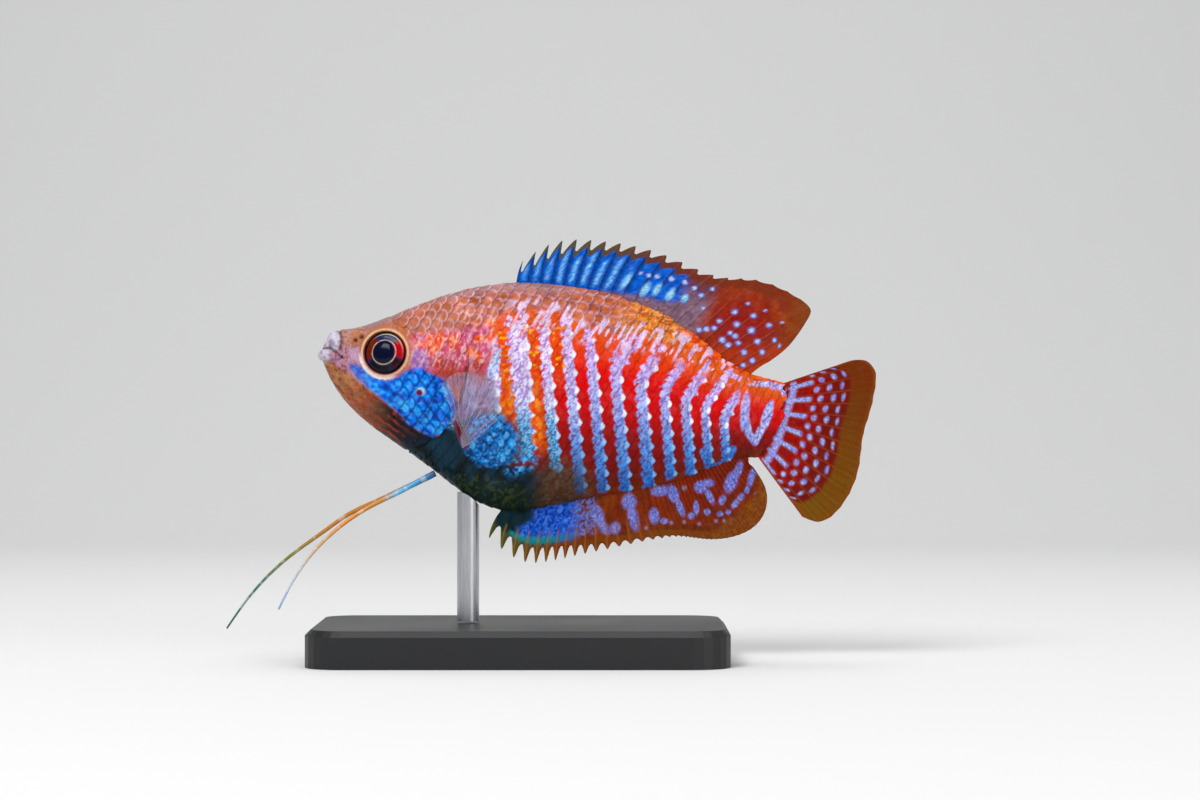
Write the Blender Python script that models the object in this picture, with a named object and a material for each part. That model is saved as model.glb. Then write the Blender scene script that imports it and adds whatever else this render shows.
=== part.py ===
"""A dwarf gourami, life size, on a plain display stand.

The fish is built in its own frame, in millimetres: x runs from the snout to the tail, z from the belly
to the back, and y across the body, with the left side at -y. An empty then carries all of it: it holds
the snout at its height above the stand and tilts the fish head up. The stand is built upright below it.
"""

import math

import bmesh
import bpy
import numpy as np
from mathutils import Matrix, Vector

MM = 0.001

# The gap between pieces that touch.
GAP = 0.3

# The pose: where the snout is above the middle of the stand's underside, and how far the head is raised.
SNOUT_X = -27.1
SNOUT_Z = 42.0
HEAD_UP = math.radians(9.0)

# The body, snout to tail: its back, its belly, the height where it is widest and half its width there.
BACK = (
    (0.5, 0.6), (1.1, 1.9), (3.0, 3.2), (8.6, 5.8), (15.5, 9.8), (24.6, 13.0), (31.6, 13.7),
    (39.0, 13.5), (48.8, 10.6), (57.3, 6.2), (62.5, 5.4),
)
BELLY = (
    (0.5, -1.2), (1.4, -2.7), (3.7, -5.6), (6.5, -7.9), (11.0, -10.4), (18.0, -13.9), (24.7, -17.2),
    (28.5, -17.7), (34.0, -16.3), (41.4, -13.7), (51.8, -9.6), (58.5, -5.9), (62.5, -5.1),
)
WIDEST_AT = ((0.5, -0.4), (4.0, -0.9), (9.0, -1.6), (16.0, -1.8), (26.0, -1.5), (40.0, 0.2), (62.5, 0.3))
HALF_WIDTH = (
    (0.5, 0.9), (1.5, 1.5), (3.0, 2.1), (6.0, 3.1), (9.0, 4.0), (13.0, 4.9), (18.0, 5.3), (25.0, 5.2),
    (33.0, 4.7), (42.0, 3.8), (50.0, 2.9), (57.0, 2.0), (62.5, 1.4),
)
# How full each cross-section is above and below its widest point: 2 is an ellipse, less is keener.
BACK_FULL = ((0.5, 2.2), (10.0, 2.3), (22.0, 2.0), (35.0, 1.7), (62.5, 1.8))
BELLY_FULL = ((0.5, 2.2), (10.0, 2.0), (20.0, 2.1), (30.0, 1.7), (62.5, 1.7))

# The tail end swings a little to the right, from here on.
SWAY_FROM = 34.0
SWAY_AT_TAIL = 1.6
TAIL_TIP = 75.3

# The gill opening parts the head from the trunk: furthest back at GILL_X, further forward above and below.
GILL_X = 20.2
GILL_HIGH = 0.15
GILL_TO_NAPE = 4.6
GILL_TO_THROAT = 6.4
GILL_STEP = 0.35
GILL_STEP_LENGTH = 3.5
COVER_SWELL = 0.3
COVER_AT = (14.5, -3.5)
COVER_SPREAD = (5.0, 6.0)

# The tail's narrow part: where it begins and ends, how much further back its end is above than below,
# half the end's width, and how far before it the narrowing begins.
PEDUNCLE_FROM = 57.7
BODY_END = 61.4
END_LEAN = 1.0
END_HALF_WIDTH = 0.75
END_NARROWS = 3.2


RING_SIDES = 32
HEAD_FRONT = 0.55
HEAD_RINGS = 20
TRUNK_RINGS = 24
PEDUNCLE_RINGS = 4


# The eyes: where, the ball's radius and half its depth, and how far it stands out of the skin.
EYE_AT = (9.1, 0.85)
EYE_RADIUS = 2.95
EYE_HALF_DEPTH = 1.4
EYE_PROUD = 0.75
EYE_SIDES = 24
EYE_RINGS = 10

# The rim of the eye's socket: its radius, thickness and how deep its middle lies in the skin.
RIM_RADIUS = 3.2
RIM_THICK = 0.36
RIM_SUNK = 0.1
RIM_SIDES = 8

# The fins' sheets: half their thickness, on a ray and between rays, and how it falls at the margin.
MEMBRANE_HALF = 0.26
RAY_HALF = 0.45
FIN_EDGE = 0.7
RAY_FLANK = 0.22
SPINE_NOTCH = 0.13
SOFT_NOTCH = 0.03
FIN_ROWS = (0.0, 0.18, 0.38, 0.58, 0.78, 0.9, 1.0)

# Each fin: its base, its rays, and the line of their tips as (share of the base, x, z).
DORSAL_BASE = (24.9, 58.3)
DORSAL_RAYS = 23
DORSAL_SPINES = 15
DORSAL_BOW = -0.5
DORSAL_TIPS = (
    (0.0, 25.3, 16.1), (0.1, 28.6, 18.9), (0.25, 34.5, 20.3), (0.5, 45.2, 19.6), (0.65, 52.2, 18.1),
    (0.77, 58.0, 18.4), (0.83, 62.0, 17.4), (0.88, 64.8, 16.1), (0.92, 64.3, 13.2), (0.96, 62.6, 10.2),
    (1.0, 60.3, 7.8),
)
ANAL_BASE = (27.6, 59.6)
ANAL_RAYS = 31
ANAL_SPINES = 17
ANAL_BOW = -0.4
ANAL_TIPS = (
    (0.0, 26.6, -21.6), (0.12, 30.9, -23.9), (0.3, 37.0, -22.8), (0.5, 45.0, -19.7), (0.65, 52.0, -17.5),
    (0.78, 57.6, -16.9), (0.88, 62.4, -13.7), (0.95, 62.6, -9.4), (1.0, 60.4, -6.6),
)
CAUDAL_RAYS = 15
CAUDAL_HALF_BASE = 4.75
CAUDAL_TIPS = (
    (0.0, 72.4, 10.3), (0.1, 75.0, 8.9), (0.3, 75.2, 4.2), (0.5, 74.8, -0.8), (0.7, 74.8, -5.6),
    (0.87, 73.0, -10.0), (1.0, 69.4, -12.7),
)

PECTORAL_RAYS = 9
PECTORAL_BASE = ((20.6, -6.9), (21.7, -9.7))
PECTORAL_TIPS = (
    (0.0, 17.3, -2.0), (0.25, 19.6, 0.0), (0.5, 22.6, -0.3), (0.75, 25.2, -2.2), (1.0, 25.6, -5.6),
)
# How far the tips stand off the body, how far the base does, and how much the sheet cups outward.
PECTORAL_OUT = ((0.0, 3.6), (0.5, 5.4), (1.0, 4.2))
PECTORAL_ROOT_OUT = 0.62
PECTORAL_CUP = 0.9

FEELER_RADII = ((0.0, 0.62), (0.3, 0.48), (1.0, 0.3))
FEELER_SIDES = 8
FEELER_POINTS = 17
# The feelers' paths, root to tip, as (x, y, z).
FEELERS = {
    "left": (
        (18.0, -1.0, -14.45), (15.8, -1.5, -15.8), (13.8, -1.8, -17.3), (10.3, -2.4, -19.8),
        (7.5, -2.9, -22.3), (3.6, -3.4, -27.3), (1.5, -3.7, -31.8), (0.4, -3.9, -35.3),
    ),
    "right": (
        (18.0, 1.0, -14.45), (15.8, 1.5, -15.8), (13.7, 1.9, -17.2), (10.4, 2.6, -19.4),
        (7.4, 3.2, -21.4), (4.2, 3.8, -24.4), (0.2, 4.5, -28.4), (-4.4, 5.3, -34.6), (-7.0, 5.9, -39.7),
    ),
}

# The lips: the middle of each at the front, the corner of the mouth, and the radius at both.
LIP_CORNER = (3.2, -0.55)
UPPER_LIP_FRONT = (1.62, 1.35)
LOWER_LIP_FRONT = (0.75, -0.75)
LIP_RADIUS = 0.8
LIP_CORNER_RADIUS = 0.4
LIP_POINTS = 15
LIP_SIDES = 10

# The nostrils as (x, z, radius), and the groove down the cheek.
NOSTRILS = ((4.8, 1.9, 0.36), (5.55, 2.45, 0.42))
CHEEK_GROOVE = ((15.6, -1.6), (15.9, -3.4), (15.7, -5.4), (15.2, -7.2), (14.3, -8.6))
CHEEK_GROOVE_RADIUS = 0.28
CHEEK_GROOVE_POINTS = 9

# The stand: a flat base with rounded corners, and a rod up to the belly.
BASE_LENGTH = 56.0
BASE_WIDTH = 34.0
BASE_HEIGHT = 5.0
BASE_CORNER = 5.0
BASE_BEVEL = 0.8
ROD_X = -7.0
ROD_RADIUS = 1.5
ROD_SIDES = 24
ROD_RINGS = (1.0, 0.66, 0.33)
BASE_CORNER_STEPS = 6
# The rod's gap is upright, so it is wider than the gap across it by the slope of the belly.
ROD_GAP_SLOPE = 1.35
BELLY_STEPS = 40

SIDES = (("left", -1), ("right", 1))


def spline(knots):
    """The smooth curve (a natural cubic spline) through (x, value) knots, straight beyond its ends."""
    xs, ys = np.array(knots, float).T
    steps = np.diff(xs)
    slopes = np.diff(ys) / steps
    count = len(xs)
    matrix, right = np.eye(count), np.zeros(count)
    for i in range(1, count - 1):
        matrix[i, i - 1 : i + 2] = steps[i - 1], 2 * (steps[i - 1] + steps[i]), steps[i]
        right[i] = 6 * (slopes[i] - slopes[i - 1])
    bends = np.linalg.solve(matrix, right)

    def value(x):
        x = np.asarray(x, float)
        i = np.clip(np.searchsorted(xs, x) - 1, 0, count - 2)
        near = np.clip(x, xs[0], xs[-1])
        a, b = xs[i + 1] - near, near - xs[i]
        inside = (bends[i] * a**3 + bends[i + 1] * b**3) / (6 * steps[i])
        inside = inside + (ys[i] / steps[i] - bends[i] * steps[i] / 6) * a
        inside = inside + (ys[i + 1] / steps[i] - bends[i + 1] * steps[i] / 6) * b
        first = slopes[0] - bends[1] * steps[0] / 6
        last = slopes[-1] + bends[-2] * steps[-1] / 6
        return inside + np.where(x < xs[0], first * (x - xs[0]), 0) + np.where(x > xs[-1], last * (x - xs[-1]), 0)

    return value


back, belly, widest_at, half_width = map(spline, (BACK, BELLY, WIDEST_AT, HALF_WIDTH))
back_full, belly_full = spline(BACK_FULL), spline(BELLY_FULL)


def ease(t):
    """0 to 1 with a soft start and end."""
    t = np.clip(t, 0, 1)
    return t * t * (3 - 2 * t)


def sway(x):
    """How far the middle of the fish is to the right at x."""
    return SWAY_AT_TAIL * np.maximum(0, (np.asarray(x, float) - SWAY_FROM) / (TAIL_TIP - SWAY_FROM)) ** 2


def gill_back(h):
    """How far in front of GILL_X the gill opening lies at height h."""
    above = np.maximum(0, (h - GILL_HIGH) / (1 - GILL_HIGH))
    below = np.maximum(0, (GILL_HIGH - h) / (1 + GILL_HIGH))
    return GILL_TO_NAPE * above**2 + GILL_TO_THROAT * below**2.4


def height(x, h):
    """z at x for a share h of the way from the widest point up to the back (1) or down to the belly (-1)."""
    middle = widest_at(x)
    return np.where(h > 0, middle + h * (back(x) - middle), middle + h * (middle - belly(x)))


def share(x, z):
    """The opposite of height: the share h at x for the height z."""
    middle = widest_at(x)
    h = np.where(z > middle, (z - middle) / (back(x) - middle), (z - middle) / (middle - belly(x)))
    return np.clip(h, -1, 1)


def flank(x, h):
    """Half the body's width at x and height share h, with the swell of the gill cover."""
    full = np.where(h > 0, back_full(x), belly_full(x))
    width = half_width(x) * np.maximum(1 - h * h, 0) ** (1 / full)
    z = height(x, h)
    off = ((x - COVER_AT[0]) / COVER_SPREAD[0]) ** 2 + ((z - COVER_AT[1]) / COVER_SPREAD[1]) ** 2
    return width + COVER_SWELL * np.exp(-off * off)


def trunk_inset(x, h):
    """How much the trunk is drawn in just behind the gill cover, so that the cover's edge stands proud."""
    behind = x - (GILL_X - gill_back(h))
    open_here = ease((0.75 - np.abs(h - GILL_HIGH + 0.2)) / 0.3)
    return GILL_STEP * open_here * (1 - ease(behind / GILL_STEP_LENGTH))


def surface(x, z, side, out=0.0):
    """A point of the body's side at (x, z), moved out by a distance along the surface's normal."""
    def at(px, pz):
        return np.array([px, side * float(flank(px, share(px, pz))) + float(sway(px)), pz])

    step = 0.05
    along = at(x + step, z) - at(x - step, z)
    up = at(x, z + step) - at(x, z - step)
    normal = np.cross(along, up) * -side
    return at(x, z) + out * normal / np.linalg.norm(normal), normal / np.linalg.norm(normal)


def make_material(name, colour, roughness, metallic=0.0):
    material = bpy.data.materials.new(name)
    material.use_nodes = True
    shader = material.node_tree.nodes["Principled BSDF"]
    shader.inputs["Base Color"].default_value = (*colour, 1.0)
    shader.inputs["Roughness"].default_value = roughness
    shader.inputs["Metallic"].default_value = metallic
    return material


def make_object(name, points, faces, material, parent=None, smooth_below=math.radians(40)):
    """A mesh object from points in millimetres, facing out, shaded smooth but for its sharp edges."""
    mesh = bpy.data.meshes.new(name)
    mesh.from_pydata([tuple(float(c) * MM for c in p) for p in points], [], faces)
    model = bmesh.new()
    model.from_mesh(mesh)
    bmesh.ops.triangulate(model, faces=[f for f in model.faces if len(f.verts) > 4])
    bmesh.ops.recalc_face_normals(model, faces=model.faces)
    model.to_mesh(mesh)
    model.free()
    mesh.shade_smooth()
    mesh.set_sharp_from_angle(angle=smooth_below)
    mesh.materials.append(material)
    obj = bpy.data.objects.new(name, mesh)
    bpy.context.scene.collection.objects.link(obj)
    obj.parent = parent
    return obj


def rings_closed(rings, front, rear):
    """Points and faces of a tube through rings of points, closed by a fan at each end to a middle point."""
    sides = len(rings[0])
    points = [p for ring in rings for p in ring] + [front, rear]
    faces = []
    for r in range(len(rings) - 1):
        for k in range(sides):
            a, b = r * sides + k, r * sides + (k + 1) % sides
            faces.append((a, b, b + sides, a + sides))
    first, last = len(points) - 2, len(points) - 1
    for k in range(sides):
        faces.append((first, (k + 1) % sides, k))
        faces.append((last, (len(rings) - 1) * sides + k, (len(rings) - 1) * sides + (k + 1) % sides))
    return points, faces


def ring(x_of, inset=lambda x, h: 0.0):
    """One cross-section: x_of(h) gives x at each height share h, so that a section may curve."""
    points = []
    for k in range(RING_SIDES):
        angle = 2 * math.pi * k / RING_SIDES
        h, side = math.sin(angle), math.cos(angle)
        x = float(x_of(h))
        y = max(float(flank(x, h)) - float(inset(x, h)), 0.0) * (1 if side > 0 else -1)
        if abs(side) < 1e-6:
            y = 0.0
        points.append((x, y + float(sway(x)), float(height(x, h))))
    return points


def middle_of(points):
    """The point inside a cross-section that its closing fan runs to, level with its widest place."""
    wide = max(points, key=lambda p: abs(p[1]))
    return (wide[0], sum(p[1] for p in points) / len(points), wide[2])


def remove_helpers(collection):
    for obj in list(collection.objects):
        bpy.data.objects.remove(obj)
    bpy.data.collections.remove(collection)


def keep_largest(mesh):
    """Leaves only the largest closed surface of a mesh."""
    model = bmesh.new()
    model.from_mesh(mesh)
    left, groups = set(model.faces), []
    while left:
        group, edge_of = set(), [left.pop()]
        while edge_of:
            face = edge_of.pop()
            group.add(face)
            for edge in face.edges:
                for other in edge.link_faces:
                    if other in left:
                        left.remove(other)
                        edge_of.append(other)
        groups.append(group)
    largest = max(groups, key=lambda g: sum(f.calc_area() for f in g))
    bmesh.ops.delete(model, geom=[f for f in model.faces if f not in largest], context="FACES")
    model.to_mesh(mesh)
    model.free()


def combine(obj, operation, pieces):
    """Joins pieces to obj, or cuts them from it, by one Boolean, and removes them."""
    collection = bpy.data.collections.new(obj.name + "_pieces")
    bpy.context.scene.collection.children.link(collection)
    for piece in pieces:
        bpy.context.scene.collection.objects.unlink(piece)
        collection.objects.link(piece)
    modifier = obj.modifiers.new(operation.lower(), "BOOLEAN")
    modifier.operation = operation
    modifier.operand_type = "COLLECTION"
    modifier.collection = collection
    modifier.solver = "EXACT"
    bpy.context.view_layer.update()
    graph = bpy.context.evaluated_depsgraph_get()
    mesh = bpy.data.meshes.new_from_object(obj.evaluated_get(graph))
    obj.modifiers.clear()
    obj.data = mesh
    keep_largest(mesh)
    remove_helpers(collection)


def ellipsoid(name, centre, semi_axes, sides, rings, material, parent):
    """A closed ellipsoid whose poles lie along y."""
    points = [(centre[0], centre[1] - semi_axes[1], centre[2])]
    for r in range(1, rings):
        polar = math.pi * r / rings
        for k in range(sides):
            turn = 2 * math.pi * k / sides
            points.append((
                centre[0] + semi_axes[0] * math.sin(polar) * math.cos(turn),
                centre[1] - semi_axes[1] * math.cos(polar),
                centre[2] + semi_axes[2] * math.sin(polar) * math.sin(turn),
            ))
    points.append((centre[0], centre[1] + semi_axes[1], centre[2]))
    faces, last = [], len(points) - 1
    for k in range(sides):
        after = (k + 1) % sides
        faces.append((0, 1 + k, 1 + after))
        faces.append((last, last - sides + after, last - sides + k))
        for r in range(rings - 2):
            a, b = 1 + r * sides + k, 1 + r * sides + after
            faces.append((a, a + sides, b + sides, b))
    return make_object(name, points, faces, material, parent)


def tube(name, path, radii, sides, material, parent):
    """A closed round tube through a path of points, with a radius at each."""
    path = np.array(path, float)
    along = np.gradient(path, axis=0)
    along /= np.linalg.norm(along, axis=1)[:, None]
    across = np.cross(along[0], (0.1, 0.2, 1.0))
    rings = []
    for point, direction, radius in zip(path, along, radii):
        across = across - direction * np.dot(across, direction)
        across /= np.linalg.norm(across)
        up = np.cross(direction, across)
        turns = [2 * math.pi * k / sides for k in range(sides)]
        rings.append([point + radius * (math.cos(a) * across + math.sin(a) * up) for a in turns])
    points, faces = rings_closed(rings, path[0], path[-1])
    return make_object(name, points, faces, material, parent)


def smooth_path(knots, count):
    """Evenly spaced points of the smooth curve through a list of points."""
    knots = np.array(knots, float)
    steps = np.concatenate([[0], np.cumsum(np.linalg.norm(np.diff(knots, axis=0), axis=1))])
    curves = [spline(list(zip(steps, knots[:, k]))) for k in range(knots.shape[1])]
    return np.array([[float(curve(s)) for curve in curves] for s in np.linspace(0, steps[-1], count)])


def turned(obj, normal, pivot):
    """Turns a mesh built about a pivot so that its y axis follows the normal."""
    normal = Vector(normal)
    up = (Vector((0, 0, 1)) - normal * normal.z).normalized()
    rotation = Matrix((up.cross(normal) * -1, normal, up)).transposed().to_4x4()
    centre = Vector([float(c) for c in pivot]) * MM
    obj.data.transform(Matrix.Translation(centre) @ rotation @ Matrix.Translation(-centre))
    return obj


def eye_place(side):
    """The skin over the eye, the way it faces, and the middle of the eyeball."""
    skin, normal = surface(EYE_AT[0], EYE_AT[1], side)
    return skin, normal, skin - normal * (EYE_HALF_DEPTH - EYE_PROUD)


def columns_of(rays):
    """Where the columns of a fin's mesh lie, counted in rays: each ray's middle and both its flanks."""
    places = []
    for i in range(rays):
        for off in (-RAY_FLANK, 0.0, RAY_FLANK):
            if 0 <= i + off <= rays - 1:
                places.append((i + off, off == 0.0))
    return places


def fin(name, root, tip, rays, material, parent, bow=0.0, lean=None, spines=0):
    """A fin as one closed sheet: root(u) and tip(u) give the ends of the ray at share u of the fin.

    bow is how far the rays curve rearward, lean(u, t) how far the fin stands off sideways.
    """
    places = columns_of(rays)
    middle, half = [], []
    for place, on_ray in places:
        u = place / (rays - 1)
        start, end = np.array(root(u), float), np.array(tip(u), float)
        spine = np.clip(spines - place, 0, 1)
        reach = 1.0 if on_ray else 1.0 - SPINE_NOTCH * spine - SOFT_NOTCH * (1 - spine)
        column, thick = [], []
        for t in FIN_ROWS:
            s = t * reach
            point = start + (end - start) * s + np.array([bow * 4 * s * (1 - s), 0, 0])
            if lean:
                point = point + np.array(lean(u, s))
            column.append(point)
            ridge = (RAY_HALF - MEMBRANE_HALF) * (1 - 0.7 * t) if on_ray else 0.0
            thick.append((MEMBRANE_HALF + ridge) * (1 - (1 - FIN_EDGE) * max(0.0, (t - 0.8) / 0.2)))
        middle.append(column)
        half.append(thick)
    middle, half = np.array(middle), np.array(half)
    across = np.gradient(middle, axis=0)
    along = np.gradient(middle, axis=1)
    normals = np.cross(across, along)
    normals /= np.linalg.norm(normals, axis=2)[:, :, None]
    count, rows = half.shape
    faces_near = middle + normals * half[:, :, None]
    faces_far = middle - normals * half[:, :, None]
    points = [tuple(p) for p in faces_near.reshape(-1, 3)] + [tuple(p) for p in faces_far.reshape(-1, 3)]
    far = count * rows
    faces = []
    for c in range(count - 1):
        for r in range(rows - 1):
            a, b = c * rows + r, (c + 1) * rows + r
            faces += [(a, b, b + 1), (a, b + 1, a + 1)]
            faces += [(far + b, far + a, far + b + 1), (far + b + 1, far + a, far + a + 1)]
    border = [c * rows for c in range(count)]
    border += [(count - 1) * rows + r for r in range(1, rows)]
    border += [c * rows + rows - 1 for c in range(count - 2, -1, -1)]
    border += [r for r in range(rows - 2, 0, -1)]
    for k, a in enumerate(border):
        b = border[(k + 1) % len(border)]
        faces += [(a, far + a, far + b), (a, far + b, b)]
    return make_object(name, points, faces, material, parent)


def pair(knots):
    """A curve of (x, z) points over u, from (u, x, z) knots."""
    along = spline([(u, x) for u, x, z in knots])
    up = spline([(u, z) for u, x, z in knots])
    return lambda u: (float(along(u)), float(up(u)))


def on_back(x):
    rise = float(back(x + 0.5) - back(x - 0.5))
    return float(back(x)) + GAP * math.hypot(1, rise)


def under_belly(x):
    fall = float(belly(x + 0.5) - belly(x - 0.5))
    return float(belly(x)) - GAP * math.hypot(1, fall)


def build_head(parent):
    skin = make_material("head_skin", (0.32, 0.40, 0.62), 0.4)

    def station(s):
        return ring(lambda h: HEAD_FRONT + (GILL_X - gill_back(h) - GAP / 2 - HEAD_FRONT) * s)

    rings = [station((r / HEAD_RINGS) ** 1.25) for r in range(HEAD_RINGS + 1)]
    front = (HEAD_FRONT - 0.3, 0.0, float(widest_at(HEAD_FRONT)))
    points, faces = rings_closed(rings, front, middle_of(rings[-1]))
    head = make_object("head", points, faces, skin, parent)
    added, cut = [], []
    for name, start in (("upper", UPPER_LIP_FRONT), ("lower", LOWER_LIP_FRONT)):
        corner_y = float(flank(LIP_CORNER[0], share(*LIP_CORNER))) - LIP_CORNER_RADIUS * 0.4
        path, radii = [], []
        for k in range(LIP_POINTS):
            turn = math.pi * (k / (LIP_POINTS - 1) - 0.5)
            bend = 1 - math.cos(turn)
            path.append((
                start[0] + (LIP_CORNER[0] - start[0]) * bend, corner_y * math.sin(turn),
                start[1] + (LIP_CORNER[1] - start[1]) * bend,
            ))
            radii.append(LIP_RADIUS + (LIP_CORNER_RADIUS - LIP_RADIUS) * bend)
        added.append(tube(name + "_lip", path, radii, LIP_SIDES, skin, parent))
    for _, side in SIDES:
        on_skin, normal, middle = eye_place(side)
        turns = [2 * math.pi * k / EYE_SIDES for k in range(EYE_SIDES)]
        across = np.cross(normal, (0.0, 0.0, 1.0))
        across /= np.linalg.norm(across)
        up = np.cross(across, normal)
        rim_middle = on_skin - normal * RIM_SUNK
        around = [rim_middle + RIM_RADIUS * (math.cos(a) * across + math.sin(a) * up) for a in turns]
        added.append(torus("rim", around, rim_middle, normal, skin, parent))
        semi = (EYE_RADIUS + GAP, EYE_HALF_DEPTH + GAP, EYE_RADIUS + GAP)
        socket = ellipsoid("socket", middle, semi, EYE_SIDES, EYE_RINGS, skin, parent)
        cut.append(turned(socket, normal, middle))
        for x, z, radius in NOSTRILS:
            spot, out = surface(x, z, side)
            pit = ellipsoid("nostril", spot, (radius, radius * 1.2, radius), 8, 5, skin, parent)
            cut.append(turned(pit, out, spot))
        groove = [surface(x, z, side)[0] for x, z in smooth_path(CHEEK_GROOVE, CHEEK_GROOVE_POINTS)]
        shares = [(k + 1) / (CHEEK_GROOVE_POINTS + 1) for k in range(CHEEK_GROOVE_POINTS)]
        radii = [CHEEK_GROOVE_RADIUS * math.sqrt(math.sin(math.pi * a)) for a in shares]
        cut.append(tube("cheek_groove", groove, radii, 6, skin, parent))
    combine(head, "UNION", added)
    combine(head, "DIFFERENCE", cut)
    return head


def torus(name, around, middle, normal, material, parent):
    """A ring of round section about a middle point, through the points around it."""
    rings = []
    for point in around:
        outward = (point - middle) / np.linalg.norm(point - middle)
        turns = [2 * math.pi * k / RIM_SIDES for k in range(RIM_SIDES)]
        rings.append([point + RIM_THICK * (math.cos(a) * outward + math.sin(a) * normal) for a in turns])
    points = [p for one in rings for p in one]
    faces = []
    for r in range(len(rings)):
        after = (r + 1) % len(rings)
        for k in range(RIM_SIDES):
            j = (k + 1) % RIM_SIDES
            faces.append((r * RIM_SIDES + k, r * RIM_SIDES + j, after * RIM_SIDES + j, after * RIM_SIDES + k))
    return make_object(name, points, faces, material, parent)


def build_body(parent):
    trunk_skin = make_material("trunk_skin", (0.35, 0.42, 0.70), 0.4)

    def station(s):
        first = GILL_X + GAP / 2
        end = PEDUNCLE_FROM - GAP / 2
        return ring(lambda h: first - gill_back(h) + (end - first + gill_back(h)) * s, trunk_inset)

    rings = [station((r / TRUNK_RINGS) ** 1.15) for r in range(TRUNK_RINGS + 1)]
    front = middle_of(rings[0])
    points, faces = rings_closed(rings, front, middle_of(rings[-1]))
    trunk = make_object("trunk", points, faces, trunk_skin, parent)

    tail_skin = make_material("tail_skin", (0.50, 0.35, 0.35), 0.4)

    def narrowing(x, h):
        near_end = ease((x - BODY_END + END_NARROWS) / END_NARROWS)
        return near_end * max(0.0, float(half_width(x)) - END_HALF_WIDTH) * (1 - abs(h) ** 3)

    start = PEDUNCLE_FROM + GAP / 2

    def end_station(s):
        return ring(lambda h: start + (BODY_END + END_LEAN * h - start) * s, narrowing)

    rings = [end_station(r / PEDUNCLE_RINGS) for r in range(PEDUNCLE_RINGS + 1)]
    points, faces = rings_closed(rings, middle_of(rings[0]), middle_of(rings[-1]))
    tail = make_object("tail_peduncle", points, faces, tail_skin, parent)
    return trunk, tail


def build_fins(parent):
    dorsal_tip, anal_tip, caudal_tip = pair(DORSAL_TIPS), pair(ANAL_TIPS), pair(CAUDAL_TIPS)

    def dorsal_root(u):
        x = DORSAL_BASE[0] + (DORSAL_BASE[1] - DORSAL_BASE[0]) * u
        return x, float(sway(x)), on_back(x)

    def dorsal_end(u):
        x, z = dorsal_tip(u)
        return x, float(sway(x)), z

    def anal_root(u):
        x = ANAL_BASE[0] + (ANAL_BASE[1] - ANAL_BASE[0]) * u
        return x, float(sway(x)), under_belly(x)

    def anal_end(u):
        x, z = anal_tip(u)
        return x, float(sway(x)), z

    def caudal_root(u):
        h = 1 - 2 * u
        x = BODY_END + END_LEAN * h + GAP
        z = 0.15 + CAUDAL_HALF_BASE * h
        return x, float(sway(x)), z

    def caudal_end(u):
        x, z = caudal_tip(u)
        return x, float(sway(x)), z

    fins = [
        fin("dorsal_fin", dorsal_root, dorsal_end, DORSAL_RAYS,
            make_material("dorsal_membrane", (0.20, 0.28, 0.62), 0.45), parent,
            bow=DORSAL_BOW, spines=DORSAL_SPINES),
        fin("anal_fin", anal_root, anal_end, ANAL_RAYS,
            make_material("anal_membrane", (0.55, 0.35, 0.30), 0.45), parent,
            bow=ANAL_BOW, spines=ANAL_SPINES),
        fin("caudal_fin", caudal_root, caudal_end, CAUDAL_RAYS,
            make_material("caudal_membrane", (0.55, 0.32, 0.22), 0.45), parent),
    ]
    pectoral_tip, out_at = pair(PECTORAL_TIPS), spline(PECTORAL_OUT)
    (x0, z0), (x1, z1) = PECTORAL_BASE
    for label, side in SIDES:
        def root(u):
            skin, normal = surface(x0 + (x1 - x0) * u, z0 + (z1 - z0) * u, side)
            return skin + normal * PECTORAL_ROOT_OUT

        def end(u):
            x, z = pectoral_tip(u)
            skin = float(flank(x, share(x, z)))
            return x, side * (skin + float(out_at(u))), z

        def lean(u, t):
            return 0.0, side * PECTORAL_CUP * 4 * t * (1 - t), -PECTORAL_CUP * t * (1 - t)

        fins.append(fin("pectoral_fin_" + label, root, end, PECTORAL_RAYS,
                        make_material("pectoral_membrane_" + label, (0.70, 0.68, 0.75), 0.35), parent,
                        lean=lean))
    return fins


def build_feelers(parent):
    radius_at = spline(FEELER_RADII)
    for label, _ in SIDES:
        path = smooth_path(FEELERS[label], FEELER_POINTS)
        radii = [float(radius_at(k / (FEELER_POINTS - 1))) for k in range(FEELER_POINTS)]
        tube("pelvic_feeler_" + label, path, radii, FEELER_SIDES,
             make_material("feeler_skin_" + label, (0.80, 0.42, 0.12), 0.4), parent)


def build_eyes(parent):
    for label, side in SIDES:
        _, normal, middle = eye_place(side)
        semi = (EYE_RADIUS, EYE_HALF_DEPTH, EYE_RADIUS)
        eye = ellipsoid("eye_" + label, middle, semi, EYE_SIDES, EYE_RINGS,
                        make_material("eye_" + label, (0.08, 0.05, 0.05), 0.1), parent)
        turned(eye, normal, middle)


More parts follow.
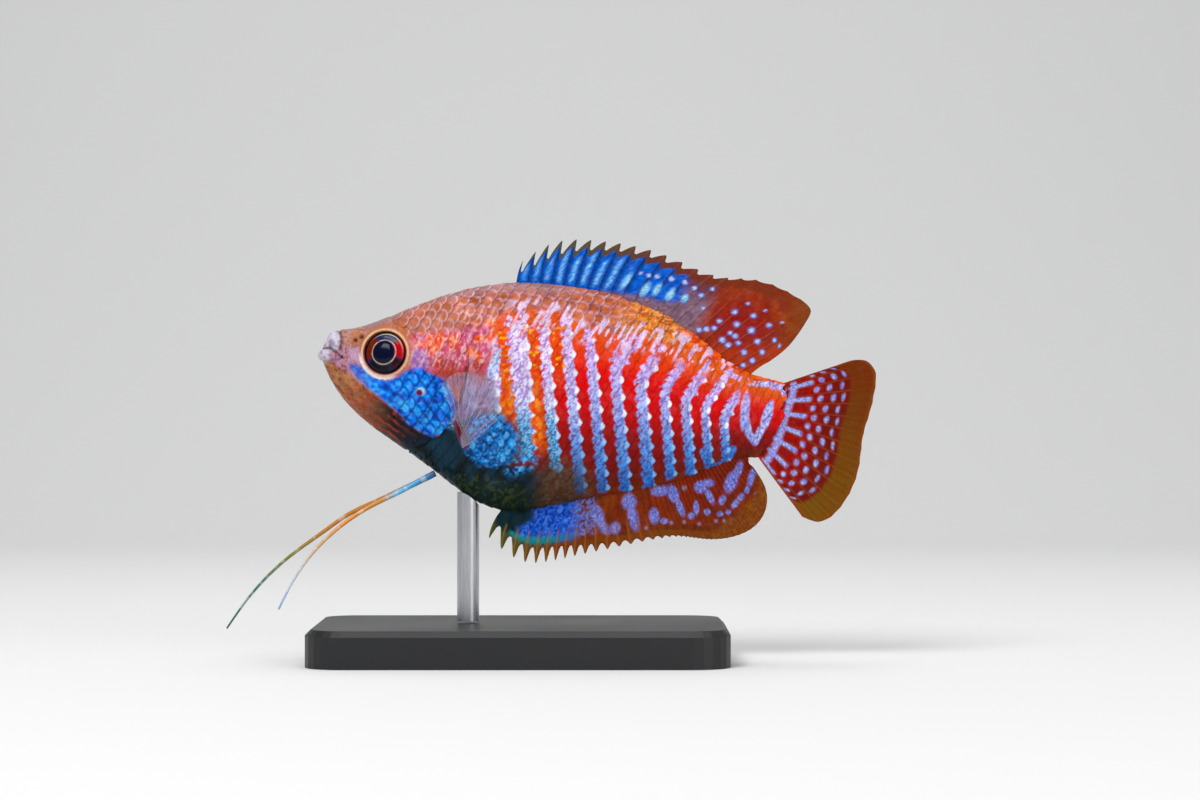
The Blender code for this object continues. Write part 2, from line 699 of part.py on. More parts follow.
def build_stand(fish):
    """The base, upright on the floor, and a rod whose top is cut to the belly's lie."""
    corners = []
    for cx, cy, first in ((1, 1, 0), (-1, 1, 90), (-1, -1, 180), (1, -1, 270)):
        for k in range(BASE_CORNER_STEPS + 1):
            turn = math.radians(first + 90 * k / BASE_CORNER_STEPS)
            corners.append((
                cx * (BASE_LENGTH / 2 - BASE_CORNER), cy * (BASE_WIDTH / 2 - BASE_CORNER),
                math.cos(turn), math.sin(turn),
            ))
    rings = []
    for z, radius in ((0, BASE_CORNER), (BASE_HEIGHT - BASE_BEVEL, BASE_CORNER),
                      (BASE_HEIGHT, BASE_CORNER - BASE_BEVEL)):
        rings.append([(x + radius * cos, y + radius * sin, z) for x, y, cos, sin in corners])
    points, faces = rings_closed(rings, (0, 0, 0), (0, 0, BASE_HEIGHT))
    base = make_object("stand_base", points, faces, make_material("stand_base", (0.06, 0.06, 0.06), 0.5))

    def belly_above(x, y):
        """The height of the fish's underside above a point of the stand."""
        low, high = 0.0, SNOUT_Z
        for _ in range(BELLY_STEPS):
            z = (low + high) / 2
            away_x, away_z = x - SNOUT_X, z - SNOUT_Z
            fish_x = away_x * math.cos(HEAD_UP) - away_z * math.sin(HEAD_UP)
            fish_z = away_x * math.sin(HEAD_UP) + away_z * math.cos(HEAD_UP)
            inside = fish_z > belly(fish_x) and abs(y) < flank(fish_x, share(fish_x, fish_z))
            low, high = (low, z) if inside else (z, high)
        return low - GAP * ROD_GAP_SLOPE

    rings = []
    turns = [2 * math.pi * k / ROD_SIDES for k in range(ROD_SIDES)]
    circle = [(ROD_X + ROD_RADIUS * math.cos(a), ROD_RADIUS * math.sin(a)) for a in turns]
    rings.append([(x, y, BASE_HEIGHT + GAP) for x, y in circle])
    for share_out in ROD_RINGS:
        inner = [(ROD_X + (x - ROD_X) * share_out, y * share_out) for x, y in circle]
        rings.append([(x, y, belly_above(x, y)) for x, y in inner])
    points, faces = rings_closed(rings, (ROD_X, 0, BASE_HEIGHT + GAP), (ROD_X, 0, belly_above(ROD_X, 0)))
    rod = make_object("stand_rod", points, faces, make_material("stand_rod", (0.7, 0.7, 0.7), 0.3, 1.0))
    rod.parent = base


def main():
    for obj in list(bpy.data.objects):
        bpy.data.objects.remove(obj)
    fish = bpy.data.objects.new("fish", None)
    bpy.context.scene.collection.objects.link(fish)
    fish.location = (SNOUT_X * MM, 0, SNOUT_Z * MM)
    fish.rotation_euler = (0, HEAD_UP, 0)
    build_head(fish)
    build_body(fish)
    build_fins(fish)
    build_feelers(fish)
    build_eyes(fish)
    build_stand(fish)
    bpy.context.view_layer.update()


main()
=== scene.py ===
"""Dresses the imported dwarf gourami: skin, scales, fins, eyes and stand finishes, with a plain studio around it."""

import math

import bmesh
import bpy
import numpy as np

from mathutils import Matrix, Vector


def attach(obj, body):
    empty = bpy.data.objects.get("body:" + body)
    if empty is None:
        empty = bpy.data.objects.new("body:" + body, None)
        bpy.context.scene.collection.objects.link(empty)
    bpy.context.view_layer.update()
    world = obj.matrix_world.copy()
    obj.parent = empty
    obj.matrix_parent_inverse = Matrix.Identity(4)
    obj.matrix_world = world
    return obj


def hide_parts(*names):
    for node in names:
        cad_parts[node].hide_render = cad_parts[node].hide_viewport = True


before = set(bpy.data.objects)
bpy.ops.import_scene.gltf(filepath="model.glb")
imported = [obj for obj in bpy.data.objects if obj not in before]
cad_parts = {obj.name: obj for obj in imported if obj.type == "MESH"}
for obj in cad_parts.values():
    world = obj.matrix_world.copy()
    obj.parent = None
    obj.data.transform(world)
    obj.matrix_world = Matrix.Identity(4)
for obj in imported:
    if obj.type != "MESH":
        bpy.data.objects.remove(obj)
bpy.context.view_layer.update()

MM = 0.001
# How much the marks' saturation drifts over a finish.
TINT = 0.03

# The fish's own frame, as in the CAD: millimetres, x from the snout to the tail, z up, left side at -y.
SNOUT_X = -27.1
SNOUT_Z = 42.0
HEAD_UP = math.radians(9.0)
GAP = 0.3

BACK = (
    (0.5, 0.6), (1.1, 1.9), (3.0, 3.2), (8.6, 5.8), (15.5, 9.8), (24.6, 13.0), (31.6, 13.7),
    (39.0, 13.5), (48.8, 10.6), (57.3, 6.2), (62.5, 5.4),
)
BELLY = (
    (0.5, -1.2), (1.4, -2.7), (3.7, -5.6), (6.5, -7.9), (11.0, -10.4), (18.0, -13.9), (24.7, -17.2),
    (28.5, -17.7), (34.0, -16.3), (41.4, -13.7), (51.8, -9.6), (58.5, -5.9), (62.5, -5.1),
)
WIDEST_AT = ((0.5, -0.4), (4.0, -0.9), (9.0, -1.6), (16.0, -1.8), (26.0, -1.5), (40.0, 0.2), (62.5, 0.3))
HALF_WIDTH = (
    (0.5, 0.9), (1.5, 1.5), (3.0, 2.1), (6.0, 3.1), (9.0, 4.0), (13.0, 4.9), (18.0, 5.3), (25.0, 5.2),
    (33.0, 4.7), (42.0, 3.8), (50.0, 2.9), (57.0, 2.0), (62.5, 1.4),
)
BACK_FULL = ((0.5, 2.2), (10.0, 2.3), (22.0, 2.0), (35.0, 1.7), (62.5, 1.8))
BELLY_FULL = ((0.5, 2.2), (10.0, 2.0), (20.0, 2.1), (30.0, 1.7), (62.5, 1.7))

SWAY_FROM = 34.0
SWAY_AT_TAIL = 1.6
TAIL_TIP = 75.3

GILL_X = 20.2
GILL_HIGH = 0.15
GILL_TO_NAPE = 4.6
GILL_TO_THROAT = 6.4
GILL_STEP = 0.35
GILL_STEP_LENGTH = 3.5
COVER_SWELL = 0.3
COVER_AT = (14.5, -3.5)
COVER_SPREAD = (5.0, 6.0)

HEAD_FRONT = 0.55
BODY_END = 61.4
END_LEAN = 1.0
END_HALF_WIDTH = 0.75
END_NARROWS = 3.2

EYE_AT = (9.1, 0.85)
EYE_RADIUS = 2.95
EYE_HALF_DEPTH = 1.4
EYE_PROUD = 0.75

LIP_CORNER = (3.2, -0.55)
UPPER_LIP_FRONT = (1.62, 1.35)
LOWER_LIP_FRONT = (0.75, -0.75)
LIP_RADIUS = 0.8
LIP_CORNER_RADIUS = 0.4
UPPER_LIP_TALLER = 0.42
RIM_MIDDLE = 3.12
RIM_HALF = 0.3
RIM_RINGS, RIM_SIDES = 181, 28
LIP_SIDES = 32

NOSTRILS = ((4.8, 1.9, 0.36), (5.55, 2.45, 0.42))
CHEEK_GROOVE = ((15.6, -1.6), (15.9, -3.4), (15.7, -5.4), (15.2, -7.2), (14.3, -8.6))

LIP_CREASE = ((1.5, 3.3), (2.35, 3.0), (2.85, 1.8), (2.95, 0.4))
MOUTH_SLIT = ((-0.2, 0.0), (1.6, 0.35), (2.3, 0.15), (3.3, -0.6))

SIDES = (("left", -1), ("right", 1))


def spline(knots):
    """The smooth curve (a natural cubic spline) through (x, value) knots, straight beyond its ends."""
    xs, ys = np.array(knots, float).T
    steps = np.diff(xs)
    slopes = np.diff(ys) / steps
    count = len(xs)
    matrix, right = np.eye(count), np.zeros(count)
    for i in range(1, count - 1):
        matrix[i, i - 1 : i + 2] = steps[i - 1], 2 * (steps[i - 1] + steps[i]), steps[i]
        right[i] = 6 * (slopes[i] - slopes[i - 1])
    bends = np.linalg.solve(matrix, right)

    def value(x):
        x = np.asarray(x, float)
        i = np.clip(np.searchsorted(xs, x) - 1, 0, count - 2)
        near = np.clip(x, xs[0], xs[-1])
        a, b = xs[i + 1] - near, near - xs[i]
        inside = (bends[i] * a**3 + bends[i + 1] * b**3) / (6 * steps[i])
        inside = inside + (ys[i] / steps[i] - bends[i] * steps[i] / 6) * a
        inside = inside + (ys[i + 1] / steps[i] - bends[i + 1] * steps[i] / 6) * b
        first = slopes[0] - bends[1] * steps[0] / 6
        last = slopes[-1] + bends[-2] * steps[-1] / 6
        return inside + np.where(x < xs[0], first * (x - xs[0]), 0) + np.where(x > xs[-1], last * (x - xs[-1]), 0)

    return value


back, belly, widest_at, half_width = map(spline, (BACK, BELLY, WIDEST_AT, HALF_WIDTH))
back_full, belly_full = spline(BACK_FULL), spline(BELLY_FULL)


def ease(t):
    """0 to 1 with a soft start and end."""
    t = np.clip(t, 0, 1)
    return t * t * (3 - 2 * t)


def rise(value, start, over):
    """0 to 1 as the value goes from start on over a distance."""
    return ease((value - start) / over)


def fall(value, end, over):
    """1 to 0 as the value comes up to end over a distance."""
    return ease((end - value) / over)


def band(x, start, end, soft):
    """1 between start and end, falling to 0 over a distance soft at both."""
    return ease((x - start) / soft + 0.5) * ease((end - x) / soft + 0.5)


def sway(x):
    return SWAY_AT_TAIL * np.maximum(0, (np.asarray(x, float) - SWAY_FROM) / (TAIL_TIP - SWAY_FROM)) ** 2


def gill_back(h):
    above = np.maximum(0, (h - GILL_HIGH) / (1 - GILL_HIGH))
    below = np.maximum(0, (GILL_HIGH - h) / (1 + GILL_HIGH))
    return GILL_TO_NAPE * above**2 + GILL_TO_THROAT * below**2.4


def height(x, h):
    """The height at x of a share h of the flank."""
    middle = widest_at(x)
    return np.where(h > 0, middle + h * (back(x) - middle), middle + h * (middle - belly(x)))


def share(x, z):
    """How far up or down the flank z is at x: 1 on the back, -1 under the belly."""
    middle = widest_at(x)
    h = np.where(z > middle, (z - middle) / (back(x) - middle), (z - middle) / (middle - belly(x)))
    return np.clip(h, -1, 1)


def flank(x, h):
    """Half the body's width, with the gill cover's swell, its step behind, and the tail end's narrowing."""
    full = np.where(h > 0, back_full(x), belly_full(x))
    width = half_width(x) * np.maximum(1 - h * h, 0) ** (1 / full)
    z = height(x, h)
    off = ((x - COVER_AT[0]) / COVER_SPREAD[0]) ** 2 + ((z - COVER_AT[1]) / COVER_SPREAD[1]) ** 2
    width = width + COVER_SWELL * np.exp(-off * off)
    behind = x - (GILL_X - gill_back(h))
    open_here = ease((0.75 - np.abs(h - GILL_HIGH + 0.2)) / 0.3)
    step = GILL_STEP * open_here * (1 - ease(behind / GILL_STEP_LENGTH)) * ease(behind / 0.25)
    near_end = ease((x - BODY_END + END_NARROWS) / END_NARROWS)
    narrow = near_end * np.maximum(0.0, half_width(x) - END_HALF_WIDTH) * (1 - np.abs(h) ** 3)
    return np.maximum(width - step - narrow, 0)


def skin_point(x, h, side, out=0.0):
    """Points of the body at (x, h) moved out along the surface's normal, as an array of (x, y, z)."""
    x, h = np.broadcast_arrays(np.asarray(x, float), np.asarray(h, float))

    def at(px, ph):
        return np.stack([px, side * flank(px, ph) + sway(px), height(px, ph)], -1)

    step = 0.02
    along = at(x + step, h) - at(x - step, h)
    up = at(x, np.clip(h + step, -1, 1)) - at(x, np.clip(h - step, -1, 1))
    normal = np.cross(along, up) * -np.asarray(side)[..., None]
    normal = normal / np.maximum(np.linalg.norm(normal, axis=-1), 1e-9)[..., None]
    return at(x, h) + np.asarray(out)[..., None] * normal, normal


def to_world(points):
    """Fish millimetres to world metres."""
    c, s = math.cos(HEAD_UP), math.sin(HEAD_UP)
    p = np.asarray(points, float)
    x = p[..., 0] * c + p[..., 2] * s + SNOUT_X
    z = -p[..., 0] * s + p[..., 2] * c + SNOUT_Z
    return np.stack([x, p[..., 1], z], -1) * MM


def lin(hexed):
    """A colour written as six hex digits, as linear red, green and blue."""
    c = np.array([int(hexed[i : i + 2], 16) for i in (0, 2, 4)]) / 255
    return np.where(c <= 0.04045, c / 12.92, ((c + 0.055) / 1.055) ** 2.4)


def mix(a, b, t):
    """Colours a and b, each an array of rgb or six hex digits, mixed by t."""
    a, b = (lin(c) if isinstance(c, str) else c for c in (a, b))
    t = np.clip(np.asarray(t, float), 0, 1)[..., None]
    return a * (1 - t) + b * t


def laid(colour, *layers):
    """A colour with each (colour, amount) laid over it in turn."""
    for layer, amount in layers:
        colour = mix(colour, layer, amount)
    return colour


def mix_plain(a, b, t):
    return a * (1 - t) + b * t


def ramp(t, hexes, *stops):
    """Colours along t: one of hexes, separated by spaces, at each stop."""
    colours = np.array([lin(hexed) for hexed in hexes.split()])
    return np.stack([np.interp(t, stops, colours[:, k]) for k in range(3)], -1)


def noise(x, y, seed=0):
    """Smooth noise of about 0 to 1, one bump to a unit."""
    x, y = np.asarray(x, float), np.asarray(y, float)
    xi, yi = np.floor(x).astype(np.int64), np.floor(y).astype(np.int64)
    fx, fy = x - xi, y - yi
    fx, fy = fx * fx * (3 - 2 * fx), fy * fy * (3 - 2 * fy)

    def hashed(i, j):
        n = (i * 374761393 + j * 668265263 + seed * 974711 + 1013904223) & 0xFFFFFFFF
        n = ((n ^ (n >> 13)) * 1274126177) & 0xFFFFFFFF
        n = ((n ^ (n >> 16)) * 2246822519) & 0xFFFFFFFF
        return ((n ^ (n >> 15)) & 0xFFFF) / 65535.0

    a = hashed(xi, yi) * (1 - fx) + hashed(xi + 1, yi) * fx
    b = hashed(xi, yi + 1) * (1 - fx) + hashed(xi + 1, yi + 1) * fx
    return a * (1 - fy) + b * fy


def noises(x, y, seed, *sizes):
    """One noise for each size of bump, with seeds that count up."""
    return [noise(x * size, y * size, seed + i) for i, size in enumerate(sizes)]


def quads_of(index):
    """Four-sided faces between the points of a grid of indices."""
    return np.stack([index[:-1, :-1], index[1:, :-1], index[1:, 1:], index[:-1, 1:]], -1).reshape(-1, 4)


def border_of(index):
    """The indices round the edge of a grid, and the next one for each."""
    border = np.concatenate([index[:-1, 0], index[-1, :-1], index[:0:-1, -1], index[0, :0:-1]])
    return border, np.roll(border, -1)


def rings_joined(rings, sides):
    """Four-sided faces between rings of points, each closed on itself, and the indices of one ring after another."""
    index = np.arange(rings * sides).reshape(rings, sides)
    after = np.roll(index, -1, 1)
    return np.stack([index[:-1], after[:-1], after[1:], index[1:]], -1).reshape(-1, 4), index, after


def capped(rings, sides):
    """Faces of closed rings with both ends closed on the two points that follow them."""
    faces, index, after = rings_joined(rings, sides)
    ends = [(rings * sides, b, a) for a, b in zip(index[0].tolist(), after[0].tolist())]
    ends += [(rings * sides + 1, a, b) for a, b in zip(index[-1].tolist(), after[-1].tolist())]
    return [tuple(face) for face in faces.tolist()] + ends


def outward(mesh):
    """Turns every shell of a mesh to face out."""
    model = bmesh.new()
    model.from_mesh(mesh)
    bmesh.ops.recalc_face_normals(model, faces=model.faces)
    model.to_mesh(mesh)
    model.free()


def make_piece(name, points, faces, material, colours=None, uv=None, replaces=(), masks=None):
    """A mesh piece from fish millimetres, with its colours by vertex, riding on the row's body."""
    mesh = bpy.data.meshes.new(name)
    mesh.from_pydata(to_world(points), [], faces)
    outward(mesh)
    mesh.update()
    mesh.shade_smooth()
    mesh.materials.append(material)
    if colours is not None:
        layer = mesh.color_attributes.new("Marks", "FLOAT_COLOR", "POINT")
        rgba = np.concatenate([np.clip(colours, 0, 1), np.ones((len(colours), 1))], 1)
        layer.data.foreach_set("color", rgba.astype(np.float32).ravel())
    for key, values in (masks or {}).items():
        layer = mesh.attributes.new(key, "FLOAT", "POINT")
        layer.data.foreach_set("value", np.asarray(values, np.float32).ravel())
    if uv is not None:
        layer = mesh.uv_layers.new(name="OFBake")
        corner = np.empty(len(mesh.loops), np.int32)
        mesh.loops.foreach_get("vertex_index", corner)
        layer.uv.foreach_set("vector", np.asarray(uv, np.float32)[corner].ravel())
    piece = bpy.data.objects.new(name, mesh)
    bpy.context.scene.collection.objects.link(piece)
    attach(piece, "root")
    if replaces:
        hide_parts(*replaces)
    return piece


# Materials. An input of a node is a value or, as (node, output), what another node gives.
def feed(made, inputs):
    for key, value in inputs.items():
        if isinstance(value, tuple) and isinstance(value[0], bpy.types.Node):
            made.id_data.links.new(value[0].outputs[value[1]], made.inputs[key])
        else:
            made.inputs[key].default_value = value


def new_material(name):
    """A material with its Principled shader, and a function that adds a node and gives (node, output)."""
    material = bpy.data.materials.new(name)
    material.use_nodes = True
    tree = material.node_tree

    def add(kind, output, inputs, **settings):
        made = tree.nodes.new("ShaderNode" + kind)
        for key, value in settings.items():
            setattr(made, key, value)
        feed(made, inputs)
        return made, output

    return material, tree.nodes["Principled BSDF"], add


def around(middle, spread, more=None):
    """The ends of a MapRange node that gives the middle less a spread to the middle with it, or with more."""
    return {"To Min": middle - spread, "To Max": middle + (spread if more is None else more)}


def marked_material(name, roughness=0.4, grain=0.25, grain_size=2600.0, bump=0.15, specular=0.5, coat=0.0,
                    alpha=None, through=0.0):
    """A finish whose colour is the piece's marks, varied by fine noise, with bump and roughness from nodes."""
    material, shader, add = new_material(name)
    place = add("TexCoord", "Object", {})
    fine = add("TexNoise", "Fac", {"Vector": place, "Scale": grain_size, "Detail": 4.0})
    coarse = add("TexNoise", "Fac", {"Vector": place, "Scale": grain_size / 5, "Detail": 3.0})
    middle = {"From Min": 0.3, "From Max": 0.7}
    shade = add("MapRange", "Result", {"Value": fine, **middle, **around(1.0, grain)})
    drift = add("MapRange", "Result", {"Value": coarse, **middle, **around(1.0, TINT)})
    marks = add("Attribute", "Color", {}, attribute_name="Marks")
    varied = add("VectorMath", "Vector", {0: marks, "Scale": shade}, operation="SCALE")
    hue = add("HueSaturation", "Color", {"Saturation": drift, "Color": varied})
    feed(shader, {
        "Base Color": hue,
        "Roughness": add("MapRange", "Result", {"Value": coarse, **around(roughness, 0.08)}),
        "Normal": add("Bump", "Normal", {"Strength": bump, "Distance": 0.00006, "Height": fine}),
        "Specular IOR Level": specular, "Coat Weight": coat, "Coat Roughness": 0.12,
    })
    if alpha:
        feed(shader, {"Alpha": add("Attribute", "Fac", {}, attribute_name=alpha)})
    if through:
        glow = add("BsdfTranslucent", "BSDF", {"Color": hue})
        both = add("MixShader", "Shader", {"Fac": through, 1: (shader, "BSDF"), 2: glow})
        feed(material.node_tree.nodes["Material Output"], {"Surface": both})
    return material


# Marks are laid out on the side view in the picture's own pixels, which are this many millimetres each.
PIXEL = 0.135
CAMERA_AT = (0.0108, -0.45, 0.0351)
CAMERA_FAR = 450
PICTURE_MIDDLE = (600, 400)
# The fish's axes on the picture: the cosine and sine of their turn, and the fish's place of the picture's corner.
TURN_COS, TURN_SIN = 0.98769, 0.15643
CORNER_X, CORNER_Z = 49.904, 39.783


def picture(x, z):
    """Where points of the flank, or of a fin on the middle plane, show in the picture."""
    a, b = TURN_COS * PIXEL, TURN_SIN * PIXEL
    h = share(x, z)
    inside = (z < back(x)) & (z > belly(x)) & (x < BODY_END)
    near = np.where(inside, flank(x, h), 0.0)
    px = (a * (x + CORNER_X) + b * (z - CORNER_Z)) / PIXEL**2
    py = (b * (x + CORNER_X) - a * (z - CORNER_Z)) / PIXEL**2
    grow = CAMERA_FAR / (CAMERA_FAR - near)
    return tuple(middle + (p - middle) * grow for middle, p in zip(PICTURE_MIDDLE, (px, py)))


def unrolled(x, z):
    """How much further up the picture a point of the back or belly would show with the side laid flat."""
    h = share(x, z)
    turned = np.maximum(flank(x, 0 * h) - flank(x, h), 0) / PIXEL
    return np.where((x > 0) & (x < BODY_END), np.sign(h) * turned, 0.0)


def near_line(x, z, line):
    """The distance from points to a line through a few points."""
    best = np.full(np.shape(x), 1e9)
    for (x0, z0), (x1, z1) in zip(line[:-1], line[1:]):
        dx, dz = x1 - x0, z1 - z0
        t = np.clip(((x - x0) * dx + (z - z0) * dz) / (dx * dx + dz * dz), 0, 1)
        best = np.minimum(best, np.hypot(x - x0 - t * dx, z - z0 - t * dz))
    return best


def hollow(distance, wide):
    """1 at no distance, falling off as a bell of this width."""
    return np.exp(-((distance / wide) ** 2))


def below(px, py, line, soft):
    """1 under a line of the picture given by a few points from left to right, 0 above it."""
    lx, ly = np.array(line, float).T
    return ease((py - np.interp(px, lx, ly)) / soft + 0.5)


def blob(px, py, cx, cy, rx, ry, lean=0.0, soft=0.35):
    """A soft-edged oval on the picture, leaning by an angle in degrees."""
    c, s = math.cos(math.radians(lean)), math.sin(math.radians(lean))
    dx, dy = px - cx, py - cy
    d = np.hypot((dx * c + dy * s) / rx, (-dx * s + dy * c) / ry)
    return ease((1 + soft - d) / (2 * soft))


# The blue of the cheek and gill cover lies between these lines of the picture.
CHEEK_TOP = (
    (348, 364), (360, 366), (372, 376), (385, 381), (398, 377), (408, 369), (420, 368), (432, 374), (446, 382),
    (453, 394), (458, 410),
)
CHEEK_LOW = (
    (348, 366), (358, 379), (372, 392), (386, 402), (396, 412), (408, 424), (418, 430), (432, 438), (446, 432),
    (458, 418),
)


def cheek_blue(px, py):
    ragged = 2.5 * (noise(px * 0.22, py * 0.22, 5) - 0.5)
    within = below(px, py + ragged, CHEEK_TOP, 4) * (1 - below(px, py + ragged, CHEEK_LOW, 4))
    return within * rise(px, 346, 6) * ease((460 - px + ragged) / 3)


def red_spot(colour, px, py):
    """The small red spot of the cheek, with a pale crescent behind it."""
    moon = blob(px, py, 420.6, 391.6, 4.6, 4.2, 0, 0.2) * (1 - blob(px, py, 418.8, 393.0, 3.6, 3.4, 0, 0.25))
    return laid(colour, ("a9d8f4", 0.8 * moon), ("7a0a10", blob(px, py, 419, 392.6, 3.0, 2.7, 0, 0.3)))


def pale_streaks(px, py):
    """Fine broken lines that run down over the nape and temple, as edges of scales catch the light."""
    run = px + 0.42 * (py - 330) + 3.0 * (noise(px * 0.06, py * 0.09, 14) - 0.5)
    cell = run / 12.6
    f = cell - np.floor(cell)
    broken = ease((noise(np.floor(cell) * 3.1, py * 0.13, 15) - 0.3) / 0.2)
    return hollow(f - 0.5, 0.085) * broken * rise(py, 300, 8)


def temple(colour, px, py):
    """The mottled pinks, reds and violets behind the eye and over the shoulder."""
    n1, n2 = noise(px * 0.13, py * 0.13, 16), noise(px * 0.42, py * 0.36, 17)
    fine = noise(px * 0.75, py * 0.75, 18)
    pink = ramp(n2, "b43c5c d0507c e87c98", 0.2, 0.5, 0.8)
    warm = ramp(n2, "cc3010 ec5424 f88440", 0.2, 0.5, 0.8)
    where = below(px, py, ((395, 336), (420, 331), (460, 327), (500, 322)), 14)
    where = where * (1 - below(px, py, ((395, 372), (440, 384), (500, 396)), 12))
    where = where * rise(px, 404, 14) * fall(px, 499, 12)
    spotted = laid(
        mix(pink, warm, rise(n1, 0.42, 0.16)),
        ("a8281c", 0.85 * rise(py, 354, 10) * ease((n1 + 0.3 * n2 - 0.3) / 0.3)),
        ("94506c", rise(py, 372, 8)),
        # Painted highlights: pale pink-white flecks over the upper temple.
        ("f4c8cc", 0.6 * ease((n2 * fine - 0.4) / 0.12) * fall(py, 372, 10)),
    )
    return laid(
        colour,
        (spotted, 0.92 * where),
        (ramp(n2, "7e5aa8 b488c8", 0.2, 0.8), 0.85 * blob(px, py, 419, 360, 9, 13, -14, 0.5)),
    )


def head_colour(x, z):
    """The head's own colours: bare skin, and the ground of its scales."""
    px, py = picture(x, z)
    flat = py - unrolled(x, z)
    n1, n2, n3, n4 = noises(px, flat, 1, 0.09, 0.33, 0.8, 0.17)
    # Snout: tan above, pinkish lilac below, with rusty freckles.
    snout = fall(px, 373, 12) * rise(py, 322, 8)
    colour = laid(
        mix("a4522c", "b56c48", n1),
        ("a87a7c", 0.45 * rise(n2, 0.35, 0.4)),
        ("7e3c22", 0.4 * rise(n3, 0.6, 0.2)),
        ("857a80", 0.7 * ease((1.2 - back(x) + z) / 0.8) * fall(px, 430, 40)),
        ("c8641a", 0.5 * rise(n4, 0.55, 0.2) * rise(px, 375, 20)),
        (mix("ad8478", "b086a6", rise(py, 342, 9)), 0.8 * snout),
        ("8a4226", 0.85 * snout * ease((n2 * 0.6 + n3 * 0.5 - 0.62) / 0.12)),
        ("c09ab6", 0.7 * blob(px, py, 357, 356, 9, 7, 20, 0.6)),
        ("b56a44", 0.8 * blob(px, py, 357, 338, 7, 8, 20, 0.5)),
    )
    streaks = pale_streaks(px, py) * ease((back(x) - z - 0.3) / 0.8)
    # Throat: tan, then rusty and dark, with red streaks along the jaw.
    jaw = below(px, py, ((320, 356), (335, 365), (350, 375), (372, 393), (396, 412), (418, 431), (450, 442)), 4)
    dark = rise(px, 350, 46)
    run = py - 0.72 * px
    streak = ease((np.sin(run * 0.78 + 2.2 * n4) - 0.2) / 0.5) * ease((n1 + 0.6 * n2 - 0.55) / 0.3)
    streak = streak * rise(py, 378, 10) * fall(px, 430, 20)
    throat = laid(
        mix(mix("94583a", "b07448", n4), "1a1216", dark),
        ("5a2a22", 0.75 * ease((n2 * 0.5 + n3 * 0.6 - 0.58) / 0.12) * (1 - dark)),
        ("b4784c", 0.5 * (1 - dark) * rise(n4, 0.55, 0.2)),
        ("b43414", 0.75 * streak),
        ("14181c", rise(px, 388, 22) * 0.85),
    )
    behind = below(px, py, ((330, 600), (395, 440), (425, 436), (447, 438), (462, 424), (480, 440)), 6)
    # Cheek and gill cover.
    cheek = cheek_blue(px, py)
    colour = laid(
        temple(colour, px, py),
        ("ecc4c4", 0.55 * streaks * rise(px, 402, 10) * fall(py, 374, 12)),
        (throat, jaw),
        (mix("0a1018", "0a1f38", n2), 0.95 * behind * rise(px, 395, 12)),
        (cheek_colour(px, py, n2, n4), cheek),
    )
    # Lips.
    lip = np.maximum(blob(px, py, 332.5, 340.5, 8, 11.5, 0, 0.22), blob(px, py, 322.5, 354.5, 7.5, 8.5, -20, 0.25))
    crease = np.minimum(near_line(x, z, LIP_CREASE), near_line(x, z, MOUTH_SLIT))
    return laid(
        red_spot(colour, px, py),
        (mix("c9c0d2", "94899e", rise(n2, 0.3, 0.5)), 0.95 * lip),
        # Painted shade: dark along the lip crease and the mouth slit, both sunk into the skin.
        ("4a2c30", 0.8 * hollow(crease, 0.16)),
    )


def cheek_colour(px, py, n2, n4):
    """The cheek's blue: violet below the eye, azure on the cheek, brighter on the gill cover."""
    return laid(
        ramp(n4 * 0.45 + n2 * 0.55, "0a3aa8 0a5cd8 1284f0 36b0f8", 0.25, 0.42, 0.6, 0.8),
        (ramp(n2, "3a4fb4 5a74c8", 0.3, 0.7), 0.8 * fall(px, 374, 14)),
        ("6a6ad2", 0.6 * rise(px, 400, 8) * fall(px, 424, 8) * fall(py, 374, 6)),
        ("062a7c", 0.8 * hollow(near_line(px, py, COVER_SEAM), 1.5)),
    )


# The seam between the cheek and the gill cover, in the picture.
COVER_SEAM = ((431, 373), (436, 386), (434, 400), (428, 413), (419, 424))


def body_ground(x, z):
    """The skin's colour: the scales' markings a little darker on the trunk, as painted shade where the skin shows
    between and under the scales, and bare skin on the head.
    """
    px, py = picture(x, z)
    none = np.zeros_like(x)
    lobe = blob(px, py, 466, 436, 9, 16, -18, 0.35)
    trunk = ease((x - gill_edge(share(x, z)) + 0.15) / 0.3)
    colour = laid(
        # Painted shade: 0.7 darkens the skin that lies under the scale plates.
        0.7 * scale_colours(x, z, x, z, none + 1, none + 0.6, none, none),
        ("7a3e62", lobe),
        ("5c0c14", blob(px, py, 461, 433, 3.4, 14, -16, 0.35)),
    )
    return mix(head_colour(x, z), colour, trunk)


def gill_edge(h):
    return GILL_X - gill_back(h)


# The skin: one surface from lips to tail.
COAT = 0.2
SKIN_OVER_FIN = 1.0
SCALES_OVER_FIN = 2.1
JAW_LINE = ((3.6, -1.2), (5.4, -3.6), (8.2, -5.9), (12.0, -8.6), (15.2, -10.6))


def scaled(x, z):
    """Where scales cover the skin: all of the trunk, and the cheek, gill cover, temple and nape."""
    h = share(x, z)
    trunk = ease((x - gill_edge(h) + 0.3) / 0.4)
    eye = np.hypot(x - EYE_AT[0], z - EYE_AT[1])
    cheek = ease((x - 10.2 + 0.2 * np.abs(z + 3)) / 0.8) * ease((z - belly(x) - 2.6) / 0.8) * rise(eye, 3.8, 0.4)
    return np.maximum(trunk, cheek)


